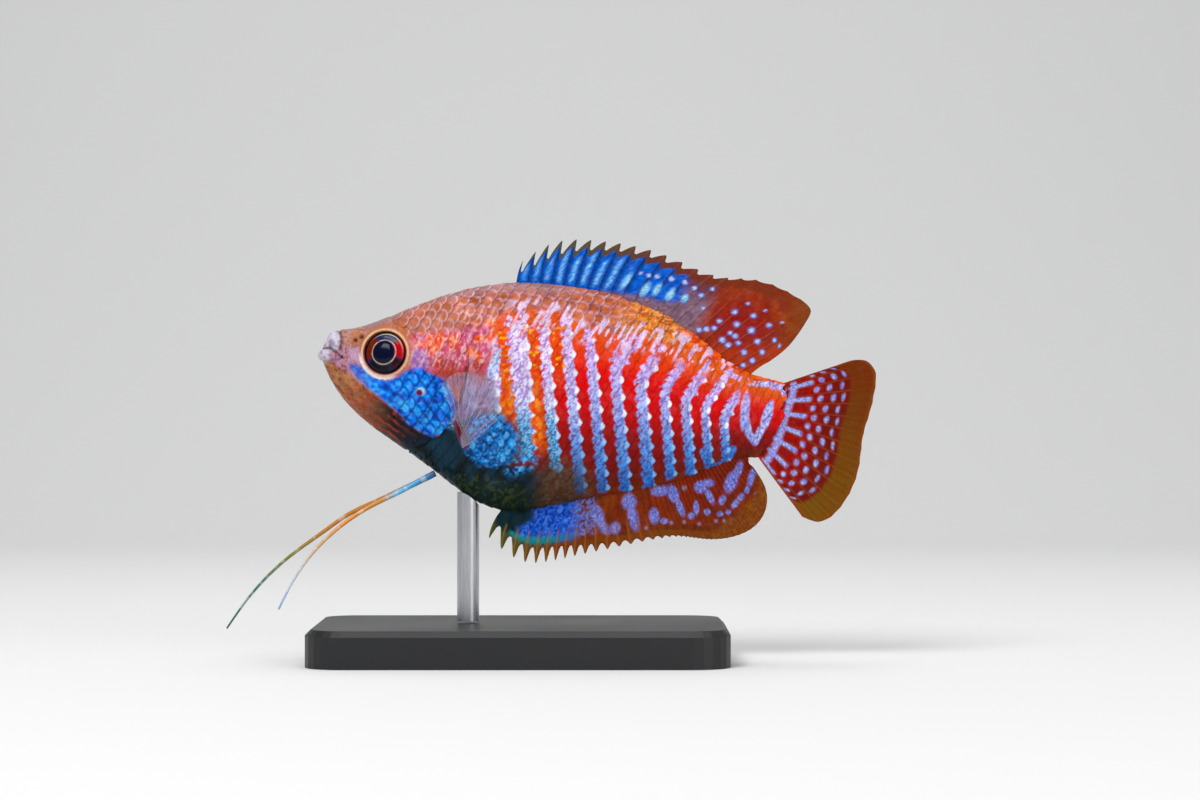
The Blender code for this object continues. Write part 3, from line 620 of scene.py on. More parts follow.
def skin_offset(x, z):
    """How far the skin stands off the CAD's surface: folds, pits, the orbit and the scales' depth."""
    eye = np.hypot(x - EYE_AT[0], z - EYE_AT[1])
    out = -0.02 - COAT * scaled(x, z)
    out = np.where(eye < 4.2, out + 0.16 * hollow(eye - RIM_MIDDLE - 0.1, 0.32), out)
    out = out - 1.3 * (1 - ease((eye - RIM_MIDDLE + 0.12) / 0.16))
    for nx, nz, radius in NOSTRILS:
        d = np.hypot(x - nx, z - nz)
        out = out - 0.38 * hollow(d, radius * 0.75) + 0.1 * hollow(d - radius * 1.15, 0.14)
    out = out - 0.2 * hollow(near_line(x, z, CHEEK_GROOVE), 0.2)
    out = out - 0.1 * hollow(near_line(x, z, JAW_LINE), 0.18)
    out = out - 0.22 * hollow(near_line(x, z, LIP_CREASE), 0.2)
    out = out - 0.15 * hollow(near_line(x, z, MOUTH_SLIT), 0.15)
    bare = 1 - scaled(x, z)
    out = out + bare * 0.05 * (noise(x * 2.2, z * 2.2, 21) - 0.5) + bare * 0.03 * (noise(x * 5, z * 5, 22) - 0.5)
    lobe = np.hypot((x - 21.0 - 0.4 * (-8.3 - z)) / 0.85, (z + 8.3) / 1.9)
    return out + 0.5 * np.exp(-(lobe**2))


def tube(path, radii, sides):
    """Points and faces of a round tube along a path, closed at both ends."""
    path = np.array(path, float)
    along = np.gradient(path, axis=0)
    along /= np.linalg.norm(along, axis=1)[:, None]
    across = np.cross(along[0], (0.1, 0.2, 1.0))
    rings = []
    angles = 2 * np.pi * np.arange(sides) / sides
    for point, direction, radius in zip(path, along, radii):
        across = across - direction * np.dot(across, direction)
        across /= np.linalg.norm(across)
        up = np.cross(direction, across)
        rings.append(point + radius * (np.cos(angles)[:, None] * across + np.sin(angles)[:, None] * up))
    points = np.concatenate(rings + [path[:1], path[-1:]])
    return points, capped(len(path), sides)


def rim_tubes():
    """The rounded fold of skin round each eye."""
    turn = np.linspace(0, 2 * np.pi + 0.02, RIM_RINGS)
    x, z = EYE_AT[0] + RIM_MIDDLE * np.cos(turn), EYE_AT[1] + RIM_MIDDLE * np.sin(turn)
    for _, side in SIDES:
        path, _ = skin_point(x, share(x, z), side, -0.06)
        yield tube(path, np.full(RIM_RINGS, RIM_HALF), RIM_SIDES)


def lip_tubes():
    for start, taller in ((UPPER_LIP_FRONT, UPPER_LIP_TALLER), (LOWER_LIP_FRONT, 0.0)):
        corner_y = float(flank(LIP_CORNER[0], share(*LIP_CORNER))) - LIP_CORNER_RADIUS * 0.4
        turn = np.pi * (np.linspace(0, 1, 61) - 0.5)
        bend = 1 - np.cos(turn)
        path = np.stack([
            start[0] + (LIP_CORNER[0] - start[0]) * bend, corner_y * np.sin(turn),
            start[1] + (LIP_CORNER[1] - start[1]) * bend,
        ], 1)
        points, faces = tube(path, LIP_RADIUS + (LIP_CORNER_RADIUS - LIP_RADIUS) * bend - 0.02, LIP_SIDES)
        rings = points[: len(path) * LIP_SIDES].reshape(len(path), LIP_SIDES, 3)
        rings[..., 2] += taller * (1 - bend)[:, None] * (0.12 + rings[..., 2] - path[:, None, 2])
        yield points, faces


# The skin's rings: finer on the head, and leaning with the tail end over the last few.
HEAD_STEP, HEAD_TO = 0.13, 20.6
BODY_STEP, BODY_TO = 0.31, 57.0
END_RINGS = 22
SKIN_SIDES = 288
FIN_DIVE = 0.55


def build_skin(material):
    fine = np.arange(HEAD_FRONT, HEAD_TO, HEAD_STEP)
    xs = np.concatenate([fine, np.arange(fine[-1] + BODY_STEP, BODY_TO, BODY_STEP)])
    angle = 2 * np.pi * (np.arange(SKIN_SIDES) + 0.5) / SKIN_SIDES
    h, side = np.sin(angle), np.where(np.cos(angle) > 0, 1.0, -1.0)
    x = np.concatenate([
        np.repeat(xs[:, None], SKIN_SIDES, 1),
        xs[-1] + (BODY_END + END_LEAN * h + SKIN_OVER_FIN - xs[-1]) * np.linspace(0, 1, END_RINGS + 1)[1:, None],
    ])
    hh, ss = np.broadcast_to(h, x.shape), np.broadcast_to(side, x.shape)
    past = np.clip((x - BODY_END - END_LEAN * hh) / SKIN_OVER_FIN, 0, 1)
    points, _ = skin_point(x, hh, ss, skin_offset(x, height(x, hh)) - FIN_DIVE * past**2)
    ends = np.stack([points[0].mean(0) - (0.25, 0, 0), points[-1].mean(0)])
    parts = [(np.concatenate([points.reshape(-1, 3), ends]), capped(*x.shape)), *lip_tubes(), *rim_tubes()]
    starts = np.cumsum([0] + [len(points) for points, _ in parts])
    points = np.concatenate([points for points, _ in parts])
    faces = [tuple(i + start for i in face) for (_, faces), start in zip(parts, starts) for face in faces]
    return make_piece("skin", points, faces, material, skin_colours(points),
                      replaces=("head", "trunk", "tail_peduncle"))


def skin_colours(points):
    x, z = points[:, 0], points[:, 2]
    eye = np.hypot(x - EYE_AT[0], z - EYE_AT[1])
    turn = np.degrees(np.arctan2(z - EYE_AT[1], x - EYE_AT[0]))
    rim = mix("b06a48", "a8607a", ease((-turn) / 60))
    # Painted highlight: a near-white crescent on the lower front of the orbit rim, where its gloss catches the light.
    crescent = band(eye, 3.22, 3.58, 0.14) * band(turn, -165, -60, 30)
    colour = laid(
        body_ground(x, z),
        (rim, 0.85 * band(eye, 2.6, 3.55, 0.2)),
        ("e6b88c", 0.8 * band(eye, 3.0, 3.3, 0.14)),
        ("f6eeec", 0.95 * crescent),
        ("7a3c34", 0.7 * band(eye, 2.78, 2.98, 0.1)),
        # Painted shade: near-black inside the rim, in the socket round the eyeball.
        ("0a0d12", fall(eye, 2.84, 0.1)),
    )
    # Painted shade: dark brown in each sunken nostril pit.
    for nx, nz, radius in NOSTRILS:
        colour = mix(colour, "4a2010", hollow(np.hypot(x - nx, z - nz), radius * 0.7))
    return colour


# The scales' lattice: columns and rows along the fish. Two columns make a stripe's pitch.
COLUMN = (
    (20.6, -6.0), (30.0, 0.0), (33.1, 2.0), (36.25, 4.0), (39.3, 6.0), (42.5, 8.0), (45.9, 10.0), (48.7, 12.0),
    (51.5, 14.0), (53.9, 16.0), (56.2, 18.0), (58.4, 20.0), (60.5, 22.0), (62.6, 24.0), (64.7, 26.0),
)
STRIPE = (
    (10.0, -5.5), (19.0, -3.0), (22.3, -2.0), (25.6, -1.0), (30.0, 0.0), (33.1, 1.0), (36.25, 2.0), (39.3, 3.0),
    (42.5, 4.0), (45.9, 5.0), (48.7, 6.0), (51.5, 7.0), (53.9, 8.0), (56.6, 9.0), (60.3, 10.0), (63.4, 11.0),
)
LEAN = 0.25
ROW = 1.07
PHASES = (0.6, 0.1)
PLATE_LONG = 2.75
PLATE_WIDE = 2.5
PLATE_THICK = 0.05
PLATE_KEEL = 0.22
PLATE_STEPS = 16


def column_to_xi(column):
    knots, n = np.array(COLUMN).T
    return np.where(column < n[0], knots[0] + (column - n[0]) * 1.567, np.interp(column, n, knots))


def stripe_at(x, z):
    """Which stripe a point is in: whole numbers are the middles of the red ones."""
    over = z - (2.6 - 0.25 * (x - 43.7))
    bent = rise(x, 36, 7) * (over + np.sqrt(over**2 + 0.8)) / 2
    xi = x - 0.68 * bent + LEAN * z
    knots, n = np.array(STRIPE).T
    return np.interp(xi, knots, n)


def row_size(x):
    return 1 - 0.25 * rise(x, 40, 20)


GIRTH_STEP, GIRTH_POINTS = 0.2, 301
ARC_STEP = 0.1


def girth_table():
    """The share h at each arc length up or down the flank from z = 0, on a grid of x, with the arc's limits."""
    xs = np.arange(0.6, 65.2, GIRTH_STEP)
    h = np.sin(np.linspace(-np.pi / 2, np.pi / 2, GIRTH_POINTS))
    arcs = np.arange(-24.0, 20.0, ARC_STEP)
    inverse, limits = [], []
    for x in xs:
        y, z = flank(0 * h + x, h), height(0 * h + x, h)
        arc = np.concatenate([[0], np.cumsum(np.hypot(np.diff(y), np.diff(z)))])
        arc -= np.interp(0.0, z, arc)
        inverse.append(np.interp(arcs, arc, h))
        limits.append((arc[0], arc[-1]))
    return xs, arcs, np.array(inverse), np.array(limits)


GIRTH_X, GIRTH_ARC, GIRTH_H, GIRTH_LIMITS = girth_table()


def h_of(x, arc):
    fx = np.clip((x - GIRTH_X[0]) / GIRTH_STEP, 0, len(GIRTH_X) - 1.001)
    fa = np.clip((arc - GIRTH_ARC[0]) / ARC_STEP, 0, len(GIRTH_ARC) - 1.001)
    i, j = fx.astype(int), fa.astype(int)
    a, b = fx - i, fa - j
    low = GIRTH_H[i, j] * (1 - b) + GIRTH_H[i, j + 1] * b
    high = GIRTH_H[i + 1, j] * (1 - b) + GIRTH_H[i + 1, j + 1] * b
    return low * (1 - a) + high * a


def scale_tips():
    """The rear tips of one side's scales: x, arc, parity of the row, and 1 on the head."""
    found = []
    for row in range(-22, 17):
        for k in range(-26, 26):
            xi = float(column_to_xi(k + PHASES[row % 2]))
            x = xi
            for _ in range(8):
                arc = row * ROW * row_size(x) * (1 + 0.02 * max(0, row))
                h = float(h_of(np.array(x), np.array(arc)))
                x = min(max(xi - LEAN * float(height(x, h)), 1.0), 64.8)
            low, high = np.interp(x, GIRTH_X, GIRTH_LIMITS[:, 0]), np.interp(x, GIRTH_X, GIRTH_LIMITS[:, 1])
            if not low + 0.2 < arc < high - 0.1 or not 8.0 < x < 64.7:
                continue
            edge = float(gill_edge(h))
            on_head = x < edge + 0.5
            root = x - 1.2
            if on_head and float(scaled(np.array(root), height(root, h))) < 0.6:
                continue
            if x > BODY_END + END_LEAN * h + SCALES_OVER_FIN * (1 - 0.75 * h**4):
                continue
            found.append((x, arc, row % 2, on_head))
    found.sort()
    return np.array(found, float)


# Down to this line of the picture the back keeps its net of pale rims; the blue stripes' tips end near it.
NET_LOW = (
    (380, 326), (440, 332), (480, 327), (505, 313), (545, 309), (567, 315), (585, 329), (601, 329), (622, 335),
    (640, 334), (661, 341), (683, 345), (700, 354), (720, 363), (736, 371), (757, 380), (790, 386),
)


def stripe_red(up, stripe, x, n2):
    """The red between the blue stripes: rusty at the belly, deep, bright, then orange near the back."""
    front = ramp(n2, "dc4408 ec6c12 f08c1c", 0.3, 0.6, 0.8)
    gold = rise(n2, 0.68, 0.1) * fall(stripe, 1.8, 0.8) * band(up, 0.6, 0.82, 0.1)
    return laid(
        ramp(up, "6e1c08 7a0a05 940604 c80608 de0a06 e2400a dc5a12", 0.06, 0.16, 0.3, 0.44, 0.62, 0.74, 0.85),
        (front, 0.9 * fall(stripe, 0.35, 0.5) * ease((stripe + 2.2) / 0.4) * rise(up, 0.22, 0.1)),
        ("e44408", 0.6 * fall(stripe, 1.6, 0.6) * rise(up, 0.5, 0.12)),
        ("f8b40c", 0.85 * gold),
        ("74350f", 0.85 * fall(up, 0.17, 0.12) * fall(x, 36, 6)),
    )


def stripe_blue(up, stripe, bead, grain):
    """A blue stripe's colour, mottled from deep to pale, the pale beads being painted glints: blue below, lavender
    above, whiter at the front.
    """
    white = fall(stripe, 2.6, 2.4) * rise(up, 0.3, 0.15)
    deep = ramp(up, "2c4c9c 4c52a4 7064c0 9070c8 ac7cc4", 0.08, 0.3, 0.45, 0.6, 0.78)
    deep = mix(deep, ramp(up, "7ca0dc b48cd2", 0.4, 0.6), 0.7 * white)
    pale = mix(ramp(up, "3c86e6 5ca4f4 86b0f6 b4c6fa dcc2f6", 0.08, 0.22, 0.36, 0.5, 0.7), "f4f0fe", 0.7 * white)
    front = fall(stripe, 1.2, 0.5)
    azure = ramp(grain, "0c4c84 2c94dc 84d8f8", 0.25, 0.5, 0.75)
    return laid(
        # The stripe's own blue and lavender, with painted glints where the beads run pale.
        mix(deep, pale, np.clip((0.7 * bead + 0.3 * grain - 0.22) / 0.5, 0, 1)),
        ("b074cc", 0.6 * front * fall(bead, 0.44, 0.1) * rise(up, 0.45, 0.1)),
        (azure, 0.8 * front * fall(up, 0.5, 0.12)),
    )


def back_net(px, py, up, edge, n1, n2, n3):
    """The back above the stripes: rusty ovals in pale rims, turning orange under the rear of the dorsal fin."""
    oval = ramp(n1 * 0.5 + n2 * 0.5, "98482c b45c38 c87050", 0.25, 0.5, 0.75)
    rims = ramp(n2, "b07488 c08a9c d8a8ac", 0.2, 0.5, 0.8)
    orange = laid(
        ramp(n2, "c25410 d46e1c e48c38", 0.2, 0.5, 0.8),
        ("a85410", 0.5 * edge),
        ("f4c890", 0.5 * rise(n3, 0.66, 0.1) * rise(py, 300, 10)),
    )
    flame = ramp(n2, "cc3804 e6500c f8701c", 0.2, 0.5, 0.8)
    return laid(
        mix(oval, rims, 0.62 * edge),
        # Painted sheen: lilac-grey along the top of the back, fading out towards the rear.
        ("9a8088", 0.55 * rise(up, 0.93, 0.05) * fall(px, 600, 60)),
        (orange, rise(px, 600, 50)),
        (flame, rise(px, 672, 26)),
    )


def belly_dark(px, py, n1):
    """The dark front of the belly, with olive flecks low down."""
    flecks = ease((noise(px * 0.4, py * 0.4, 45) - 0.58) / 0.12)
    return laid(
        ramp(n1, "06181c 0c2f40", 0.3, 0.7),
        ("1e2a1c", 0.7 * below(px, py, ((400, 470), (520, 488), (600, 486)), 12)),
        ("4c5e2c", 0.35 * flecks * blob(px, py, 486, 491, 48, 14, 12, 0.4)),
    )


def blue_patch(u, v, edge, n1, n2, n3):
    """The patch of blue scales behind the pectoral fin: dark seams, azure faces and cyan glints at the rims."""
    glint = rise(u, 0.66, 0.12) * ease((0.55 - np.abs(v)) / 0.3) * ease((n3 * 0.6 + n1 * 0.6 - 0.5) / 0.16)
    return laid(
        ramp(0.6 * n3 + 0.4 * n2, "08306c 0c5cb8 0c84e0 30b4fa", 0.2, 0.4, 0.58, 0.8),
        ("74d0fa", 0.45 * glint),
        ("062b54", 0.5 * rise(edge, 0.86, 0.14)),
    )


def tail_figure(colour, cool, red, px, py):
    """The end of the body: a lilac band, a leaning lilac oval and red between them."""
    shapes = np.maximum(blob(px, py, 745, 411, 4.5, 19, 6, 0.25), blob(px, py, 767, 416, 4.6, 16, 17, 0.2))
    hook = near_line(px, py, ((703, 452), (708, 464), (717, 467), (727, 461), (733, 449)))
    joined = near_line(px, py, ((746, 420), (749, 434), (755, 442), (761, 430)))
    shapes = np.maximum(shapes, fall(joined, 4.6, 2))
    grain = noise((px + 0.58 * py) * 0.42, py * 0.1, 38)
    top = near_line(px, py, ((730, 374), (745, 381), (757, 384), (770, 384), (781, 387), (787, 397), (789, 412)))
    shapes = np.maximum(shapes, fall(top, 3.6, 1.8) * rise(grain, 0.25, 0.2))
    lilac = ramp(noise(px * 0.8, py * 0.6, 39), "7c74c8 98a0ea ccd4fe", 0.2, 0.5, 0.8)
    return laid(
        colour,
        (red, ease((px - 737 - 0.18 * (400 - py)) / 4) * ease((py - 378 - 0.25 * (px - 740)) / 5)),
        (cool, fall(hook, 4.2, 1.6)),
        (mix(lilac, cool, fall(px, 752, 10)), shapes),
    )


def scale_colours(x, z, x_tip, z_tip, parity, u, v, head):
    """Colours over the scales, u from root to tip and v across."""
    px, py = picture(x, z)
    low, high = belly(x), back(x)
    up = (z - low) / (high - low)
    flat = py - unrolled(x, z)
    n1, n2 = noises(px, flat, 31, 0.1, 0.3)
    n3 = noise((px * 0.87 + flat * 0.5) * 0.72, (flat * 0.87 - px * 0.5) * 0.42, 33)
    n4 = noise(px * 0.85, flat * 0.85, 34)
    edge = np.hypot((u - 0.6) / 0.37, v / 0.7)
    # The stripes, whose rear edges are toothed by scale tips.
    stripe = stripe_at(x, z)
    f = stripe - np.floor(stripe)
    tip_stripe = stripe_at(x_tip, z_tip)
    f_tip = tip_stripe - np.floor(tip_stripe)
    wide = fall(stripe, 0.2, 0.3) * ease((z + 3.0) / 1.5)
    point = np.maximum(0, 1 - np.abs(v) / 0.5)
    ahead = (parity < 0.5) & (np.abs(f_tip - 0.8) < 0.17)
    behind = (parity < 0.5) & (np.abs(f_tip - 0.3) < 0.17)
    start = 0.2 - 0.05 * wide - np.where(behind, 0.05 * point, 0) + 0.26 * v**2
    end = 0.64 + 0.14 * wide + np.where(ahead, 0.17 * point, 0) + 0.08 * v**2
    blue = ease((f - start) / 0.07 + 0.5) * ease((end - f) / 0.06 + 0.5)
    # Painted glint: the tips of the stripes' teeth turn near-white.
    tooth = np.where(ahead, rise(u, 0.74, 0.1) * ease((0.46 - np.abs(v)) / 0.15), 0.0)
    top = below(px, py + 7 * (noise(px * 0.19, py * 0, 36) - 0.5), NET_LOW, 4)
    streak = ease((noise((px + 0.58 * py) * 0.3, py * 0.06, 35) - 0.24) / 0.12)
    blue = blue * top * mix_plain(streak, 1.0, below(px, py - 24, NET_LOW, 20))
    gaps = ease((noise((px + 0.58 * py) * 0.22, (py - 0.3 * px) * 0.12, 41) - 0.34) / 0.1)
    blue = blue * mix_plain(gaps, 1.0, below(px, py - 20, NET_LOW, 12))
    ends = below(px, py, ((470, 455), (540, 462), (560, 474), (575, 494), (606, 492), (625, 495), (650, 488),
                          (672, 478), (690, 478), (712, 470), (730, 457), (800, 446)), 5)
    blue = blue * (1 - ends)
    rusty = below(px, py, ((540, 474), (600, 488), (650, 483), (720, 464), (800, 446)), 14)
    red = laid(stripe_red(up, stripe, x, n2), ("300000", 0.25 * fall(n3, 0.35, 0.2)), ("8a3208", 0.8 * rusty))
    cool = mix(stripe_blue(up, stripe, n3, n4), mix("8cc4f8", "fbf8ff", rise(up, 0.25, 0.2)), 0.9 * tooth)
    net = back_net(px, py, up, rise(edge, 0.74, 0.2), n1, n2, n3)
    flank_colour = mix(net, mix(red, cool, blue), below(px, py + 5 * (n2 - 0.5), NET_LOW, 9))
    # White and pink dashes where the stripes meet the net.
    dash = ease((noise((px + 0.58 * py) * 0.28, (py - 0.3 * px) * 0.1, 40) - 0.58) / 0.1)
    dash = dash * below(px, py + 12, NET_LOW, 8) * (1 - below(px, py - 16, NET_LOW, 12))
    dash = dash * rise(px, 500, 20) * fall(px, 745, 20)
    flank_colour = mix(tail_figure(flank_colour, cool, red, px, py), mix("cca8e4", "f4e8fa", n4), 0.8 * dash)
    rim = rise(u, 0.86, 0.07) * ease((0.75 - np.abs(v)) / 0.2)
    front = fall(px, 500, 10)
    lines = np.maximum(pale_streaks(px, py) * fall(py, 376, 14), 0.7 * rim * rise(n2, 0.35, 0.3))
    fragment = blob(px, py, 493, 369, 5, 23, 17, 0.22) * rise(n3, 0.22, 0.2)
    flesh = blob(px, py, 472, 402, 24, 30, 0, 0.3)
    flesh_tone = mix(ramp(n2, "7c6c92 948ab4", 0.3, 0.7), "b0685c", fall(py, 392, 12) * n1)
    # The dark belly, and the blue patch over it.
    dark = below(px, py, ((395, 436), (440, 436), (470, 446), (500, 466), (530, 466), (548, 478), (570, 498),
                          (590, 518)), 9)
    dark = np.maximum(dark, blob(px, py, 487, 446, 34, 34, 0, 0.25))
    dark = np.maximum(dark, blob(px, py, 447, 442, 16, 15, 0, 0.3)) * fall(px, 552, 26)
    dull = ramp(n2, "33383a 48321c 4c4c3c", 0.25, 0.5, 0.75)
    patch = blob(px, py + 6 * (n2 - 0.5), 490, 441, 28, 26, 15, 0.14)
    patch = np.maximum(patch, blob(px, py, 521, 465, 17, 8, -25, 0.4) * rise(n2, 0.42, 0.16))
    # On the head the scales take the skin's colours, with painted cyan highlights on the faces of the blue scales, dark
    # seams on the blue and pale rims above.
    cheek = cheek_blue(px, py)
    above = (1 - below(px, py, NET_LOW, 12)) * (1 - cheek)
    face = laid(
        head_colour(x, z),
        (ramp(n3, "0c70dc 34b4fa", 0.3, 0.7), 0.5 * cheek * fall(edge, 0.75, 0.3) * rise(n2, 0.3, 0.3)),
        ("062a80", 0.6 * cheek * rise(edge, 0.88, 0.14)),
        (net, 0.65 * above * rise(px, 395, 20)),
        ("e8b4b0", 0.4 * (1 - cheek) * rim * fall(py, 374, 20)),
    )
    # Shoulder: mottled, with a blue fragment at its end, over bare pinkish flesh behind the gill cover.
    return laid(
        temple(flank_colour, px, py),
        (mix("e8a8b0", "f6dce4", n3), 0.5 * front * lines * fall(py, 398, 12)),
        (ramp(n3, "6f90dc 9cc0f4 c8e0fc", 0.3, 0.5, 0.7), 0.9 * fragment),
        (flesh_tone, 0.9 * flesh),
        (dull, 0.8 * blob(px, py, 556, 492, 36, 30, 0, 0.55)),
        (belly_dark(px, py, n1), dark),
        (blue_patch(u, v, edge, n1, n2, n3), patch),
        (red_spot(face, px, py), head),
    )


def build_scales(label, side, material, tips):
    rng = np.random.default_rng(11 if side < 0 else 12)
    u, v = np.meshgrid(np.linspace(0, 1, PLATE_STEPS + 1), np.linspace(-1, 1, PLATE_STEPS + 1), indexing="ij")
    per = u.size
    grid = np.arange(per).reshape(u.shape)
    border, onward = border_of(grid)
    rim = per + np.arange(len(border))
    rim_onward, middle = np.roll(rim, -1), per + len(border)
    walls = np.stack([onward, border, rim, rim_onward], -1).tolist()
    one = quads_of(grid).tolist() + walls + np.stack([rim_onward, rim, np.full(len(rim), middle)], -1).tolist()
    keep = np.concatenate([np.arange(per), border, [per // 2]])
    each = len(keep)
    patch = np.stack([(u - 0.5) * 0.003, (v - 0.5) * 0.0015], -1).reshape(per, 2)[keep]
    full = np.sqrt(np.clip(1 - (1 - np.minimum(u * 1.7 + 0.3, 1)) ** 2, 0, 1))
    round_off = np.abs(v) ** 2.3
    for part, chosen in enumerate(np.array_split(tips, 3)):
        n = len(chosen)
        x_tip, arc_tip, parity, on_head = chosen.T[:, :, None, None]
        size = row_size(x_tip)
        jitter = rng.normal(0, 1, (3, n, 1, 1))
        long = PLATE_LONG * size * (1 - 0.2 * on_head)
        x = x_tip - long * ((1 - u) * (1 - 0.3 * round_off) + 0.34 * round_off * u)
        arc = arc_tip + 0.02 * jitter[0] + 0.5 * PLATE_WIDE * size * v * full
        h = h_of(x, arc)
        here, nape = gill_edge(h), 8 * rise(h, 0.6, 0.12)
        x = np.where(on_head > 0.5, np.minimum(x, here - 0.1 + nape), np.maximum(x, here + 0.3 - nape))
        h = h_of(x, arc)
        fin_root = BODY_END + END_LEAN * h
        lift = -COAT + (COAT - 0.02) * u * (1 - 0.5 * v**4) + 0.03 * (1 - v**2) + 0.006 * jitter[1] * u
        lift = np.minimum(lift, -0.004) - 0.42 * np.clip((x - fin_root) / SCALES_OVER_FIN, 0, 1) ** 0.8
        top, normal = skin_point(x, h, side, lift)
        beneath = np.where(np.arange(each) < per, 0.0, PLATE_THICK)[:, None]
        beneath[-1] = PLATE_KEEL
        points = top.reshape(n, per, 3)[:, keep] - normal.reshape(n, per, 3)[:, keep] * beneath
        z, z_tip = height(x, h), height(x_tip, h_of(x_tip, arc_tip))
        colours = scale_colours(x, z, x_tip, z_tip, parity, u + 0 * x, v + 0 * x, on_head)
        tone = 1 + 0.06 * jitter[2].reshape(n, 1, 1)
        # Painted shade: the plates' undersides and edge walls are darkened to 0.4 of their colour.
        colours = colours.reshape(n, per, 3)[:, keep] * np.where(beneath > 0, 0.4, 1.0) * tone
        faces = [[i + first for i in face] for first in range(0, n * each, each) for face in one]
        low = np.interp(x_tip, GIRTH_X, GIRTH_LIMITS[:, 0])
        high = np.interp(x_tip, GIRTH_X, GIRTH_LIMITS[:, 1])
        around = 0.5 + side * 0.48 * (arc_tip - low) / (high - low)
        root = np.stack([x_tip / 63, around], -1).reshape(n, 1, 2)
        uv = (root + patch[None]).reshape(-1, 2)
        make_piece(f"scales_{label}_{part + 1}", points.reshape(-1, 3), faces, material, colours.reshape(-1, 3), uv)


# Fins: thin membranes with round rays, near the CAD fins' outlines.
DORSAL_BASE = (24.9, 58.3)
DORSAL_RAYS = 24
DORSAL_SPINES = 15
DORSAL_SPREAD = ((0, 0), (7, 0.333), (14, 0.667), (23, 1.0))
DORSAL_TIPS = (
    (0, 25.3, 16.1), (0.1, 28.6, 18.9), (0.25, 34.5, 20.3), (0.5, 45.2, 19.6), (0.65, 52.2, 18.1), (0.77, 58.0, 18.4),
    (0.82, 61.0, 17.7), (0.86, 63.0, 16.9), (0.89, 64.7, 15.8), (0.925, 64.2, 13.4), (0.96, 62.7, 10.5),
    (1.0, 60.3, 7.8),
)
DORSAL_NOTCHES = ((0, 0.72), (1.5, 0.55), (4, 0.32), (10, 0.15), (14, 0.06), (23, 0.006))
ANAL_BASE = (27.6, 59.6)
ANAL_RAYS = 44
ANAL_SPINES = 17
ANAL_SPREAD = ((0, 0), (3, 0.15), (8, 0.34), (16, 0.6), (22, 0.7), (43, 1.0))
ANAL_TIPS = (
    (0, 26.6, -21.6), (0.12, 30.9, -23.9), (0.3, 37.0, -22.8), (0.5, 45.0, -19.7), (0.65, 52.0, -17.5),
    (0.78, 57.6, -16.9), (0.88, 62.4, -13.7), (0.95, 62.6, -9.4), (1.0, 60.4, -6.6),
)
ANAL_NOTCHES = ((0, 0.62), (2, 0.36), (5, 0.26), (10, 0.14), (16, 0.05), (22, 0.02), (43, 0.006))
CAUDAL_RAYS = 15
CAUDAL_TIPS = (
    (0, 71.2, 9.7), (0.07, 73.3, 10.0), (0.12, 74.5, 9.2), (0.21, 75.1, 6.8), (0.33, 74.9, 3.1), (0.44, 74.5, 0.0),
    (0.55, 74.6, -3.3), (0.68, 74.2, -7.1), (0.78, 73.1, -9.9), (0.87, 71.6, -11.9), (0.94, 69.9, -12.6),
    (1.0, 68.0, -12.2),
)
PECTORAL_RAYS = 10
PECTORAL_BASE = ((20.6, -6.9), (21.7, -9.7))
PECTORAL_TIPS = ((0, 17.3, -2.0), (0.25, 19.6, 0.0), (0.5, 22.6, -0.3), (0.75, 25.2, -2.2), (1, 25.6, -5.6))
PECTORAL_OUT = ((0, 3.6), (0.5, 5.4), (1, 4.2))
AROUND_A_RAY = (0.0, 0.05, 0.1, 0.2, 0.35, 0.5, 0.65, 0.8, 0.9, 0.95)


def through(knots):
    """Smooth curves of x and z over u."""
    return spline([(u, x) for u, x, z in knots]), spline([(u, z) for u, x, z in knots])


def tips_of(knots):
    """The points of a fin's outer edge over u, on the fish's middle."""
    tip_x, tip_z = through(knots)
    return lambda u: on_middle(tip_x(u), tip_z(u))


def root_along(base, surface, off):
    """The points of a fin's root over u, from base[0] to base[1] and this far off the back or belly."""
    def root(u):
        x = base[0] + (base[1] - base[0]) * u
        return on_middle(x, surface(x) + off)

    return root


